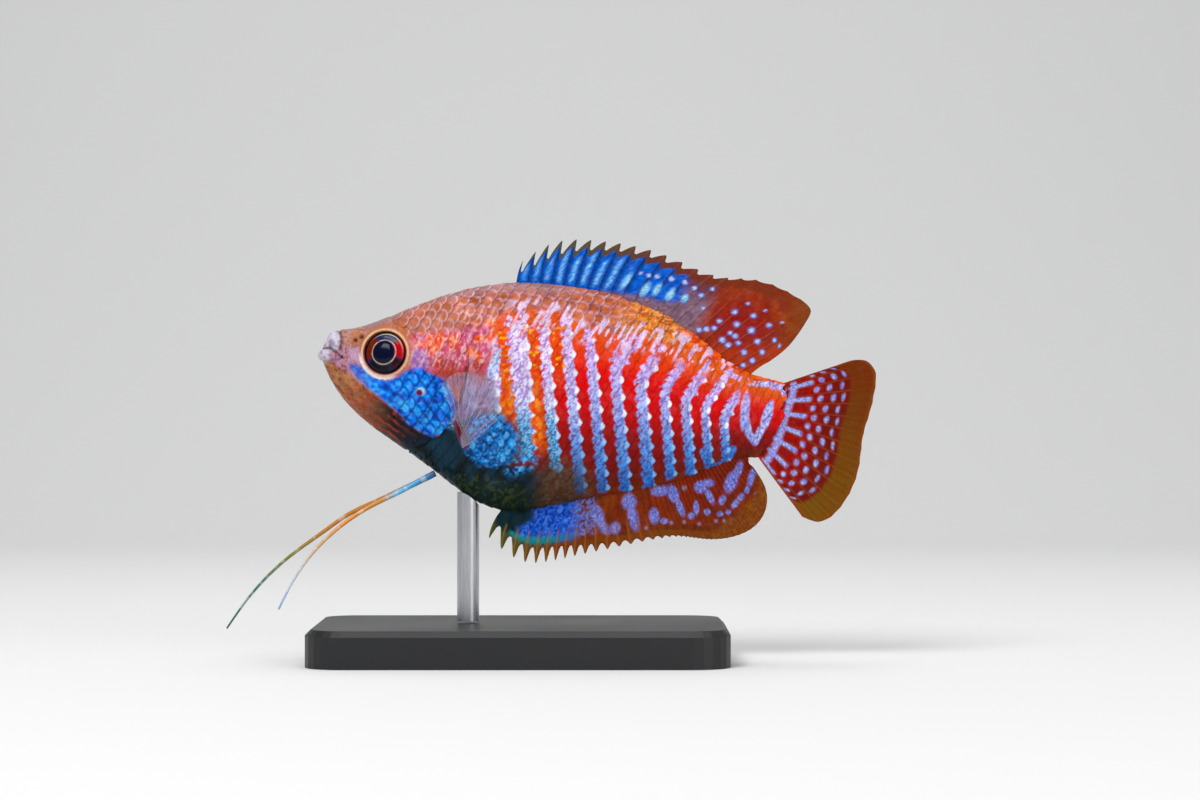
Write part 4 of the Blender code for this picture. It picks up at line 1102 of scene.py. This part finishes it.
def build_fin(name, root, tip, rays, spines, notch, bow, paint, material, replaces, rows=56, lean=None,
              sunk=0.8, ray_half=0.17, web=0.085, clear=None, sheath=0.22, spike=None, spread=None):
    """A fin from root(u) to tip(u), arrays of points. notch(place) is how deep its edge falls between rays."""
    place = np.array([i + f for i in range(rays - 1) for f in AROUND_A_RAY] + [rays - 1])
    u, f = place / (rays - 1), place - np.floor(place)
    if spread:
        u = np.clip(spline(spread)(place), 0, 1)
    spiny = np.clip(spines - place, 0, 1)
    saw = np.where(f < 0.28, ease(f / 0.28), np.clip(1 - (f - 0.28) / 0.72, 0, 1) ** 1.3)
    if spike:
        saw = ease(np.minimum(f / 1.5, 1 - f) / spike)
    wave = 4 * f * (1 - f)
    reach = 1 - notch(place) * (saw * spiny + wave * (1 - spiny))
    start, end = root(u), tip(u)
    length = np.linalg.norm(end - start, axis=1)
    t = np.concatenate([[-1.0, -0.5], np.linspace(0, 1, rows)])
    s = np.where(t < 0, t * (sunk / length)[:, None], t * reach[:, None])
    points = start[:, None] + (end - start)[:, None] * s[..., None]
    points[..., 0] += bow * 4 * s * (1 - s) * (s > 0)
    if lean:
        points = points + lean(u[:, None], s)
    across, along = np.gradient(points, axis=0), np.gradient(points, axis=1)
    normal = np.cross(across, along)
    normal /= np.linalg.norm(normal, axis=2)[..., None]
    d = np.minimum(f, 1 - f)[:, None]
    inward = np.clip(s, 0, 1)
    split = 0.2 * rise(inward, 0.4, 0.5) * (1 - spiny[:, None])
    ridge = hollow(d - split, 0.075) * (1 - 0.3 * ease(split / 0.2))
    half = web * (1 - 0.35 * inward) + ray_half * (1 - 0.62 * inward) * ridge
    half = half + np.reshape(sheath, (-1, 1)) * hollow(np.maximum(s, 0) * length[:, None], 1.3)
    half = half * (1 - 0.6 * rise(t, 0.9, 0.1) * (1 - 0.5 * ridge))
    slack = 0.05 * np.sin(2 * np.pi * f)[:, None] * inward * (1 - ridge)
    near, far = points + normal * (half + slack)[..., None], points - normal * (half - slack)[..., None]
    count, lines = half.shape
    index = np.arange(count * lines).reshape(count, lines)
    quads, (border, onward), total = quads_of(index), border_of(index), count * lines
    walls = np.stack([onward, border, border + total, onward + total], -1)
    faces = np.concatenate([quads, quads[:, ::-1] + total, walls])
    ridge = ridge + 0 * s
    # Spikes leave the markings' lines straight between them.
    marked = 1 - 0.8 * notch(place) * spiny - notch(place) * wave * (1 - spiny) if spike else reach
    shade = paint(place[:, None] + 0 * s, np.clip(s, 0, 1) / marked[:, None], points[..., 0], points[..., 2], ridge)
    colours = np.concatenate([shade.reshape(-1, 3)] * 2)
    masks = None
    if clear:
        solid = clear(t[None] + 0 * s, ridge).reshape(-1)
        masks = {"Solid": np.concatenate([solid, solid])}
    return make_piece(name, np.concatenate([near.reshape(-1, 3), far.reshape(-1, 3)]), faces, material, colours,
                      replaces=replaces, masks=masks)


def on_middle(x, z):
    return np.stack([x, sway(x), z], -1)


def dorsal_paint(place, t, x, z, ray):
    px, py = picture(x, z)
    n1, n2, n3 = noises(px, py, 41, 0.12, 0.5, 1.1)
    f = place - np.floor(place)
    line = hollow(f - 0.56 - 0.2 * (t - 0.2), 0.16) * fall(place, 9.0, 1.5)
    line = line * band(t, 0.08, 0.62 + 0.2 * noise(np.floor(place) * 5.3, t * 0, 44), 0.16)
    shine = 0.65 + 0.35 * rise(place, 2.6, 1.5)
    colour = laid(  # azure blades with a paler streak along each, dark along the spines
        ramp(n2, "0050c0 0062da 0078ea", 0.2, 0.5, 0.8),
        ("00286c", 0.8 * np.maximum(ray, fall(f, 0.3, 0.14) * 0.8)),
        (ramp(n3, "2c98f4 74c8fc b8ecff", 0.2, 0.5, 0.8), shine * line),
    )
    bars = [blob(px, py, *bar, BARS_LEAN, 0.45) for bar in DORSAL_BARS]
    for bar in bars:
        colour = mix(colour, ramp(n3, "5cb8fa b4ecff", 0.2, 0.6), 0.95 * bar)
    reach = below(px, py, ((560, 330), (600, 291), (640, 296), (664, 302), (690, 301), (705, 262)), 7)
    base_clear = np.maximum(reach * rise(px, 585, 16), ease((px - 676 - 0.3 * (290 - py)) / 16))
    # Towards the rear the blue ends, first at the base, over this clear brownish web; then comes the red lobe.
    haze = mix(ramp(n2 * 0.6 + n1 * 0.4, "7c545c 8c6670 a07c86", 0.25, 0.5, 0.75), "7c3c34", rise(t, 0.5, 0.2))
    lobe = laid(
        ramp(n1 * 0.6 + n2 * 0.4, "942c12 a43a18 b44c20", 0.25, 0.5, 0.75),
        ("a01418", 0.75 * blob(px, py, 740, 326, 30, 28, 0, 0.5)),
        ("c03c0c", 0.7 * rise(py, 340, 14)),
        ("8a4a18", 0.8 * rise(px, 772, 34)),
        ("8c2c10", 0.4 * ray),
    )
    rim = ease((t - 0.8 - 0.05 * (n1 - 0.5)) / 0.06)
    edge = ramp(px, "56604c 62503c 743828 8a3418", 520, 600, 670, 740)
    colour = laid(
        colour,
        (haze, 0.92 * base_clear * (1 - np.max(bars, 0))),
        (lobe, ease((px - 700 - 0.5 * (300 - py)) / 22)),
        (edge, rim * fall(place, 20, 3)),
    )
    for cx, cy, radius in DORSAL_SPOTS:
        d = np.hypot(px - cx, py - cy) / radius
        colour = mix(colour, "5068d4", 0.9 * fall(d, 1.35, 0.4))
        colour = mix(colour, "c4dcff", 0.95 * fall(d, 0.95, 0.4))
    return colour


# Bars between the spines (x, y, half length, half width) and round spots (x, y, radius), in the picture.
BARS_LEAN = -56
DORSAL_BARS = (
    (626, 281, 9, 2.6), (644.8, 289.6, 8, 3.4), (656.8, 289.6, 7, 2.8), (669.9, 294.5, 7, 3.2), (684.6, 298.4, 5, 3.2),
)
DORSAL_SPOTS = (
    (640.5, 273.3, 2.2), (648.7, 275.4, 2.4), (656.8, 276.6, 2.6), (670.9, 278.9, 3.0), (684.6, 282.1, 2.8),
    (694.4, 288, 2.6), (700.9, 295.2, 2.6), (712.3, 289, 2.2), (703, 308, 2.0),
    (734.6, 312, 2.8), (736.6, 324.2, 3.1), (751.3, 330.3, 3.4), (753.4, 315.6, 2.6), (757.4, 341.5, 3.0),
    (768.9, 325.2, 2.7), (762.1, 352, 2.8), (752.3, 360.5, 3.0), (774.4, 340.1, 2.4), (779.5, 345.8, 1.8),
    (743.8, 352.3, 3.1), (765.2, 310.5, 1.6), (747.9, 303.4, 1.8), (782.1, 322.3, 1.6), (699, 330, 2.8),
    (706, 329, 3.0), (714, 328, 2.6), (719, 321, 2.6), (722, 340, 3.2), (728, 345, 3.0), (735, 336, 2.8),
    (738, 343, 2.6), (730, 333, 2.3), (743, 365, 2.6),
)


def caudal_paint(place, t, x, z, ray):
    px, py = picture(x, z)
    n1, n2, n3 = noises(px, py, 51, 0.1, 0.5, 1.1)
    cell = np.floor(place)
    f = place - cell
    odd = np.abs(cell - 2 * np.floor(cell / 2)) > 0.5
    lower = rise(place, 10.5, 2)
    # Red webs between thin orange rays.
    web = mix(ramp(n2, "920402 a40602 ba0a04", 0.2, 0.5, 0.8), "7c140a", rise(t, 0.35, 0.3))
    # Lilac bars on every other web, and chequered spots beyond them.
    bars = np.where(odd, band(t, 0.1, 0.36 - 0.03 * lower, 0.05), 0) * ease((0.34 - np.abs(f - 0.5)) / 0.1)
    spots = 0.0
    for even_at, odd_at, long in ((0.4, 0.455, 0.026), (0.53, 0.585, 0.024), (0.66, 0.7, 0.017)):
        uneven = 0.02 * (noise(cell * 7.3, cell * 0 + even_at * 50, 54) - 0.5)
        level = np.where(odd, odd_at, even_at) - 0.03 * lower + uneven
        spot = ease(1.5 - np.hypot((t - level) / long, (f - 0.5) / 0.3))
        spots = np.maximum(spots, spot * np.where(even_at > 0.6, 0.65 + 0.35 * n1, 1.0))
    pale = ramp(n3, "7c84e8 9cacf8 ccdcff", 0.2, 0.5, 0.8)
    root_bar = band(t, 0.12, 0.185, 0.04) * band(place, 0.5, 13.5, 0.8)
    margin = ease((t - 0.73 - 0.02 * (n1 - 0.5) + 0.03 * (place - 7) ** 2 / 49) / 0.05)
    plain = laid(
        ramp(0.2 * n1 + place / 15, "823002 7c3c02 804802 845602", 0.1, 0.4, 0.6, 0.9),
        ("6e2a02", 0.4 * ray),
        ("9c4a08", 0.7 * rise(t, 0.95, 0.05)),
    )
    side_edge = np.maximum(fall(place, 0.6, 0.5), rise(place, 13.4, 0.5))
    return laid(
        mix(web, "a03c0c", ease((np.abs(f - 0.5) - 0.42) / 0.06)),
        (pale, np.maximum(bars, spots)),
        (ramp(n3, "8a86e4 c8ccff", 0.2, 0.8), root_bar),
        (plain, margin),
        (mix("cc3c0c", "a04410", rise(t, 0.12, 0.1)), 0.85 * side_edge),
    )


def anal_paint(place, t, x, z, ray):
    px, py = picture(x, z)
    n1, n2, n3 = noises(px, py, 61, 0.1, 0.5, 1.1)
    # The front is nearly black, then a sheet of blue under a turquoise edge.
    dark = ramp(n1, "061a1c 0c3038", 0.3, 0.7)
    flecks = ease((n3 * 0.5 + n2 * 0.5 - 0.46) / 0.1) * rise(px, 596, 20) * fall(t, 0.82, 0.1)
    ground = laid(
        ramp(n1 * 0.5 + n2 * 0.5, "6c2c0a 823606 944408", 0.25, 0.5, 0.75),
        ("8c1a06", 0.7 * rise(px, 640, 60) * fall(t, 0.62, 0.2) * rise(n2, 0.3, 0.2)),
        ("a01404", 0.55 * flecks),
    )
    sheet = ease((px - 512 - 16 * fall(t, 0.55, 0.4)) / 12) * fall(px, 600, 10) * fall(t, 0.78, 0.06)
    sheet = sheet * mix_plain(1.0, rise(n2, 0.3, 0.2), rise(px, 570, 14))
    blue = ramp(n3 * 0.5 + n2 * 0.5, "08348c 104cc4 1c68ea 5c94fa", 0.25, 0.42, 0.58, 0.78)
    blue = mix(blue, ramp(n3, "4c5cac 8890dc", 0.3, 0.7), rise(px, 566, 20))
    edging = band(t, 0.68, 0.84, 0.06) * rise(px, 506, 6)
    patches = np.max([blob(px, py, *patch, 0.3) for patch in ANAL_PATCHES], 0)
    lilac = ramp(n3, "5c66c4 8088e4 a8b4fc", 0.15, 0.5, 0.85)
    colour = laid(
        mix(ground, dark, fall(px, 566, 16)),
        (blue, np.clip(sheet, 0, 1)),
        (mix("1c9c9c", "2880c0", rise(px, 545, 20)), 0.9 * edging * fall(px, 582, 16)),
        (lilac, patches * (0.75 + 0.25 * rise(n2, 0.3, 0.2))),
    )
    for cx, cy, radius in ANAL_DOTS:
        colour = mix(colour, "a08cb4", 0.9 * blob(px, py, cx, cy, radius, radius, 0, 0.5))
    rim = rise(t, 0.84, 0.05)
    edge = ramp(px, "4c5420 7a5214 8a3e08 8c4a0c", 500, 530, 560, 690)
    lobe = below(px, py, ((690, 541), (715, 530), (740, 512), (756, 492), (764, 470), (790, 440)), 7)
    lobe = lobe * rise(px, 686, 8)
    thread = ray * fall(place, 16, 1.5) * rise(t, 0.45, 0.2)
    return laid(
        colour,
        (edge, rim),
        (ramp(n2, "863c04 8c480c 985814", 0.2, 0.5, 0.8), lobe),
        (ramp(px, "8a7a2c b0702c a85a20", 500, 540, 640), 0.9 * thread),
        ("6c2204", 0.45 * ray * rise(place, 15, 1) * (1 - patches)),
    )


# Lilac patches (x, y, half length, half width, lean) and dots (x, y, radius) of the anal fin, in the picture.
ANAL_PATCHES = (
    (598, 516, 5.5, 11, -18), (604, 528, 4, 8, -30), (629, 502, 7, 8, 0), (633, 518, 5, 13, -15), (615, 528, 5, 6, 0),
    (660, 491, 9, 5, -8), (673, 494, 5.5, 9, -20), (680, 508, 3.6, 9, -22), (654, 516, 5, 8, -5), (664, 521, 4, 3, 0),
    (700, 487, 6, 6, 0), (708, 483, 6, 4, 0), (709, 496, 3.2, 9, -28), (696, 508, 3, 7, 0), (691, 516, 3.4, 3.4, 0),
    (707, 512, 3.4, 3, 0), (720, 514, 3.2, 2.6, 0), (728, 512, 2.8, 2.6, 0), (735, 504, 3, 5, 35), (741, 497, 3, 4, 35),
    (731, 482, 6, 11, 22), (722, 500, 3.4, 5, 20), (738, 470, 4, 9, 20), (751, 478, 3.2, 10, 14), (757, 466, 3, 9, 12),
    (747, 490, 2.6, 3.6, 20),
)
ANAL_DOTS = (
    (745, 512, 2.0), (739, 518, 1.8), (732, 520, 1.8), (724, 521, 1.8), (716, 521, 1.8), (699, 524, 1.8),
    (684, 522, 1.8),
    (752, 503, 1.8), (756, 494, 1.8), (684, 488, 2.4), (671, 523, 1.8), (646, 528, 1.8),
)


def pectoral_paint(place, t, x, z, ray):
    px, py = picture(x, z)
    n1, n3 = noise(px * 0.2, py * 0.2, 71), noise(px * 1.3, py * 1.3, 73)
    return laid(
        mix("b7a3b8", "9a94b4", n1),
        ("f2e8f4", 0.7 * ray * rise(n3, 0.3, 0.3)),
        ("7c1018", fall(t, 0.07, 0.05) * fall(place, 5.5, 2)),
    )


def build_fins():
    web = marked_material("fin_web", 0.35, grain=0.16, grain_size=5200.0, bump=0.12, specular=0.09, coat=0.02,
                          through=0.22)
    build_fin("dorsal_fin_web", root_along(DORSAL_BASE, back, GAP * 0.2), tips_of(DORSAL_TIPS), DORSAL_RAYS,
              DORSAL_SPINES, spline(DORSAL_NOTCHES), -0.15, dorsal_paint, web, ("dorsal_fin",),
              spread=DORSAL_SPREAD)
    build_fin("anal_fin_web", root_along(ANAL_BASE, belly, -GAP * 0.2), tips_of(ANAL_TIPS), ANAL_RAYS, ANAL_SPINES,
              spline(ANAL_NOTCHES), -0.3, anal_paint, web, ("anal_fin",), spike=0.33, spread=ANAL_SPREAD)

    def caudal_root(u):
        h = 1 - 2 * u
        return on_middle(BODY_END + END_LEAN * h + 0.1, 0.15 + 5.0 * h)

    caudal_across = np.linspace(-1, 1, (CAUDAL_RAYS - 1) * len(AROUND_A_RAY) + 1)
    build_fin("caudal_fin_web", caudal_root, tips_of(CAUDAL_TIPS), CAUDAL_RAYS, 0,
              spline(((0, 0.004), (7, 0.006), (14, 0.004))), 0.0, caudal_paint, web, ("caudal_fin",),
              rows=84, sheath=0.28 * np.clip(1 - caudal_across**2, 0.1, 1) ** 1.5)
    glassy = marked_material("pectoral_web", 0.3, grain=0.12, grain_size=5200.0, bump=0.1, specular=0.15, coat=0.05,
                             alpha="Solid")
    tip_x, tip_z = through(PECTORAL_TIPS)
    out_at = spline(PECTORAL_OUT)
    (x0, z0), (x1, z1) = PECTORAL_BASE
    for label, side in SIDES:
        def root(u):
            x, z = x0 + (x1 - x0) * u, z0 + (z1 - z0) * u
            return skin_point(x, share(x, z), side, 0.45)[0]

        def tip(u):
            x, z = tip_x(u), tip_z(u)
            return np.stack([x, side * (flank(x, share(x, z)) + out_at(u)), z], -1)

        def lean(u, s):
            s = np.clip(s, 0, 1)
            bulge = 0.9 * s * (1 - s)
            return np.stack([0 * bulge + 0 * u, side * 4 * bulge + 0 * u, -bulge + 0 * u], -1)

        def solid(t, ray):
            return np.clip(0.12 + 0.42 * ray * (1 - 0.6 * t) + 0.5 * np.exp(-np.maximum(t, 0) * 9), 0, 1)

        build_fin("pectoral_fin_web_" + label, root, tip, PECTORAL_RAYS, 0,
                  spline(((0, 0.02), (4, 0.03), (9, 0.02))), 0.0, pectoral_paint, glassy,
                  ("pectoral_fin_" + label,), rows=44, lean=lean, sunk=0.5, ray_half=0.09, web=0.05, clear=solid,
                  sheath=0.12)


# Eyes.
EYE_RINGS, EYE_SIDES = 64, 96


def build_eyes(material):
    theta = np.linspace(0.001, np.pi - 0.001, EYE_RINGS)
    turn = 2 * np.pi * np.arange(EYE_SIDES) / EYE_SIDES
    for label, side in SIDES:
        h = share(*EYE_AT)
        point, normal = skin_point(EYE_AT[0], h, side)
        middle = point - normal * (EYE_HALF_DEPTH - EYE_PROUD)
        up = np.array((0, 0, 1.0)) - normal * normal[2]
        up /= np.linalg.norm(up)
        along = np.cross(normal, up) * side
        radius = EYE_RADIUS * np.sin(theta)[:, None] + 0 * turn
        depth = EYE_HALF_DEPTH * np.cos(theta)[:, None] + 0 * turn
        front = depth > 0
        dome = depth + np.where(front, -0.10 * band(radius, 1.45, 2.2, 0.5) + 0.05 * fall(radius, 1.4, 0.5), 0)
        points = middle + (radius * np.cos(turn))[..., None] * along + (radius * np.sin(turn))[..., None] * up
        points = points + dome[..., None] * normal
        rear = np.degrees(turn) % 360 + 0 * radius
        colours = iris(radius, rear, front)
        faces = rings_joined(EYE_RINGS, EYE_SIDES)[0][:, ::-side]
        make_piece("eye_ball_" + label, points.reshape(-1, 3), faces, material, colours.reshape(-1, 3),
                   replaces=("eye_" + label,))


def iris(r, turn, front):
    """Colours of the eye by distance from its middle and angle, 0 towards the tail and 90 up."""
    fibre = noise(turn * 0.5, r * 2, 81)
    n1 = noise(np.cos(np.radians(turn)) * r * 3, np.sin(np.radians(turn)) * r * 3, 82)
    top = mix("0c1c50", "16264a", n1)
    red = mix("c4061c", "9a0818", fibre)
    rust = mix("7a200c", "4e140a", fibre)
    dusk = mix("120a18", "3a0c14", fibre)
    ring = mix("f4ead8", "c8a070", n1)
    colour = laid(
        mix(top, red, band(turn, -10, 52, 24) + band(turn, 350, 380, 24)),
        (rust, band(turn, 132, 215, 24)),
        ("060818", band(turn, 222, 300, 24)),
        (dusk, band(turn, 306, 346, 24)),
        ("05060c", rise(r, 2.62, 0.15)),
        ("e8d9a8", 0.7 * band(r, 2.48, 2.6, 0.08) * band(turn, 25, 130, 50)),
        (ring, band(r, 1.56, 1.67, 0.05)),
        ("040a28", fall(r, 1.56, 0.04)),
    )
    return np.where(front[..., None], colour, lin("2a1a18"))


# Feelers.
FEELER_RADII = ((0, 0.45), (0.12, 0.36), (0.45, 0.27), (1.0, 0.13))
FEELERS = {
    "left": ((18.0, -1.0, -14.2), (15.8, -1.5, -15.8), (13.8, -1.8, -17.3), (10.3, -2.4, -19.8), (7.5, -2.9, -22.3),
             (3.6, -3.4, -27.3), (1.5, -3.7, -31.8), (0.4, -3.9, -35.3)),
    "right": ((18.0, 1.0, -14.2), (15.8, 1.5, -15.8), (13.7, 1.9, -17.2), (10.4, 2.6, -19.4), (7.4, 3.2, -21.4),
              (4.2, 3.8, -24.4), (0.2, 4.5, -28.4), (-4.4, 5.3, -34.6), (-7.0, 5.9, -39.7)),
}


FEELER_HUES = {
    "left": ("0a4c84 3aa4d8 6ac0e0 c8882c e08a1c d8b88a c8d0e4 8ab8e8", 0, 0.12, 0.2, 0.28, 0.5, 0.68, 0.85, 1.0),
    "right": ("5a3010 b8742c c8801c 8a8430 3c7a6a 2c5a5a", 0, 0.15, 0.45, 0.62, 0.8, 1.0),
}
FEELER_RINGS = 220
FEELER_SIDES = 16


def build_feelers(material):
    for label, path_knots in FEELERS.items():
        knots = np.array(path_knots)
        steps = np.concatenate([[0], np.cumsum(np.linalg.norm(np.diff(knots, axis=0), axis=1))])
        s = np.linspace(0, steps[-1], FEELER_RINGS)
        path = np.stack([spline(list(zip(steps, knots[:, k])))(s) for k in range(3)], 1)
        share_along = s / steps[-1]
        points, faces = tube(path, np.interp(share_along, *np.array(FEELER_RADII).T), FEELER_SIDES)
        along = np.concatenate([np.repeat(share_along, FEELER_SIDES), [0, 1]])
        pale = 0.25 * rise(noise(along * 60, along * 0, 91), 0.6, 0.2)
        colour = mix(ramp(along, *FEELER_HUES[label]), "f6f2ff", pale)
        make_piece("feeler_" + label, points, faces, material, colour,
                   replaces=("pelvic_feeler_" + label,))


# The stand's finishes.
def stand_material(name, colour, roughness, metallic, grain_scale, stretch, bump):
    material, shader, add = new_material(name)
    place = add("TexCoord", "Object", {})
    mapping = add("Mapping", "Vector", {"Vector": place, "Scale": stretch})
    fine = add("TexNoise", "Fac", {"Vector": mapping, "Scale": grain_scale, "Detail": 6.0})
    broad = add("TexNoise", "Fac", {"Vector": place, "Scale": 60.0})
    shades = add("ValToRGB", "Color", {"Fac": fine})
    for element, light in zip(shades[0].color_ramp.elements, (0.75, 1.3)):
        element.color = (*(colour * light), 1)
    feed(shader, {
        "Base Color": shades, "Metallic": metallic,
        "Roughness": add("MapRange", "Result", {"Value": broad, **around(roughness, 0.07, 0.1)}),
        "Normal": add("Bump", "Normal", {"Strength": bump, "Distance": 0.00005, "Height": fine}),
    })
    return material


def dress_stand():
    base = stand_material("satin_black", lin("17181a"), 0.42, 0.0, 3200.0, (1, 1, 1), 0.25)
    rod = stand_material("brushed_steel", lin("c2c4c8"), 0.28, 1.0, 900.0, (6, 6, 0.4), 0.2)
    for name, material in (("stand_base", base), ("stand_rod", rod)):
        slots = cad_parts[name].data.materials
        slots.clear()
        slots.append(material)


# The studio: a floor that curves up behind, a pale world and three area lamps.
FLOOR_HALF_WIDTH = 1.4
FLOOR_FRONT = -0.75
FLOOR_BENDS_AT = 0.35
FLOOR_BEND = 0.3
FLOOR_TOP = 1.2
BEND_STEPS = 24
AIM = (0, 0, 0.04)
LAMPS = (
    ("key", (-0.25, -0.42, 0.55), 0.34, 3.3),
    ("fill", (0.42, -0.45, 0.22), 0.4, 1.0),
    ("top", (0.06, 0.12, 0.6), 0.4, 1.7),
)


def placed(name, data, location=(0, 0, 0), rotation=(0, 0, 0)):
    made = bpy.data.objects.new(name, data)
    made.location, made.rotation_euler = location, rotation
    bpy.context.scene.collection.objects.link(made)
    return made


def build_studio():
    turns = [math.radians(90 * k / BEND_STEPS) for k in range(1, BEND_STEPS + 1)]
    bend = [(FLOOR_BENDS_AT + FLOOR_BEND * math.sin(t), FLOOR_BEND - FLOOR_BEND * math.cos(t)) for t in turns]
    line = [(FLOOR_FRONT, 0.0), (FLOOR_BENDS_AT, 0.0), *bend, (FLOOR_BENDS_AT + FLOOR_BEND, FLOOR_TOP)]
    floor = bpy.data.meshes.new("studio_floor")
    faces = [(2 * k, 2 * k + 1, 2 * k + 3, 2 * k + 2) for k in range(len(line) - 1)]
    floor.from_pydata([(x, y, z) for y, z in line for x in (-FLOOR_HALF_WIDTH, FLOOR_HALF_WIDTH)], [], faces)
    floor.update()
    floor.shade_smooth()
    paper, shader, _ = new_material("studio_paper")
    feed(shader, {"Base Color": (0.80, 0.80, 0.79, 1), "Roughness": 0.9})
    floor.materials.append(paper)
    placed("studio_floor", floor)
    world = bpy.data.worlds.new("studio")
    world.use_nodes = True
    feed(world.node_tree.nodes["Background"], {"Color": (0.93, 0.95, 1.0, 1), "Strength": 0.24})
    bpy.context.scene.world = world
    for name, place, size, power in LAMPS:
        light = bpy.data.lights.new(name, "AREA")
        light.energy, light.size = power, size
        placed(name, light, place, (Vector(AIM) - Vector(place)).to_track_quat("-Z", "Y").to_euler())
    lens = bpy.data.cameras.new("camera")
    lens.lens, lens.sensor_width, lens.clip_start = 100.0, 36.0, 0.01
    bpy.context.scene.camera = placed("camera", lens, CAMERA_AT, (math.radians(90), 0, 0))
    bpy.context.scene.view_settings.view_transform = "Standard"


def main():
    build_studio()
    dress_stand()
    skin = marked_material("skin", 0.42, grain=0.2, grain_size=4200.0, bump=0.25, specular=0.12, coat=0.03)
    scale = marked_material("scale", 0.38, grain=0.16, grain_size=4800.0, bump=0.18, specular=0.1, coat=0.03)
    build_skin(skin)
    tips = scale_tips()
    for label, side in SIDES:
        build_scales(label, side, scale, tips)
    build_fins()
    build_eyes(marked_material("eye", 0.14, grain=0.1, grain_size=5200.0, bump=0.02, specular=0.1, coat=0.1))
    build_feelers(marked_material("feeler", 0.35, grain=0.15, grain_size=5200.0, bump=0.1, coat=0.2))


main()
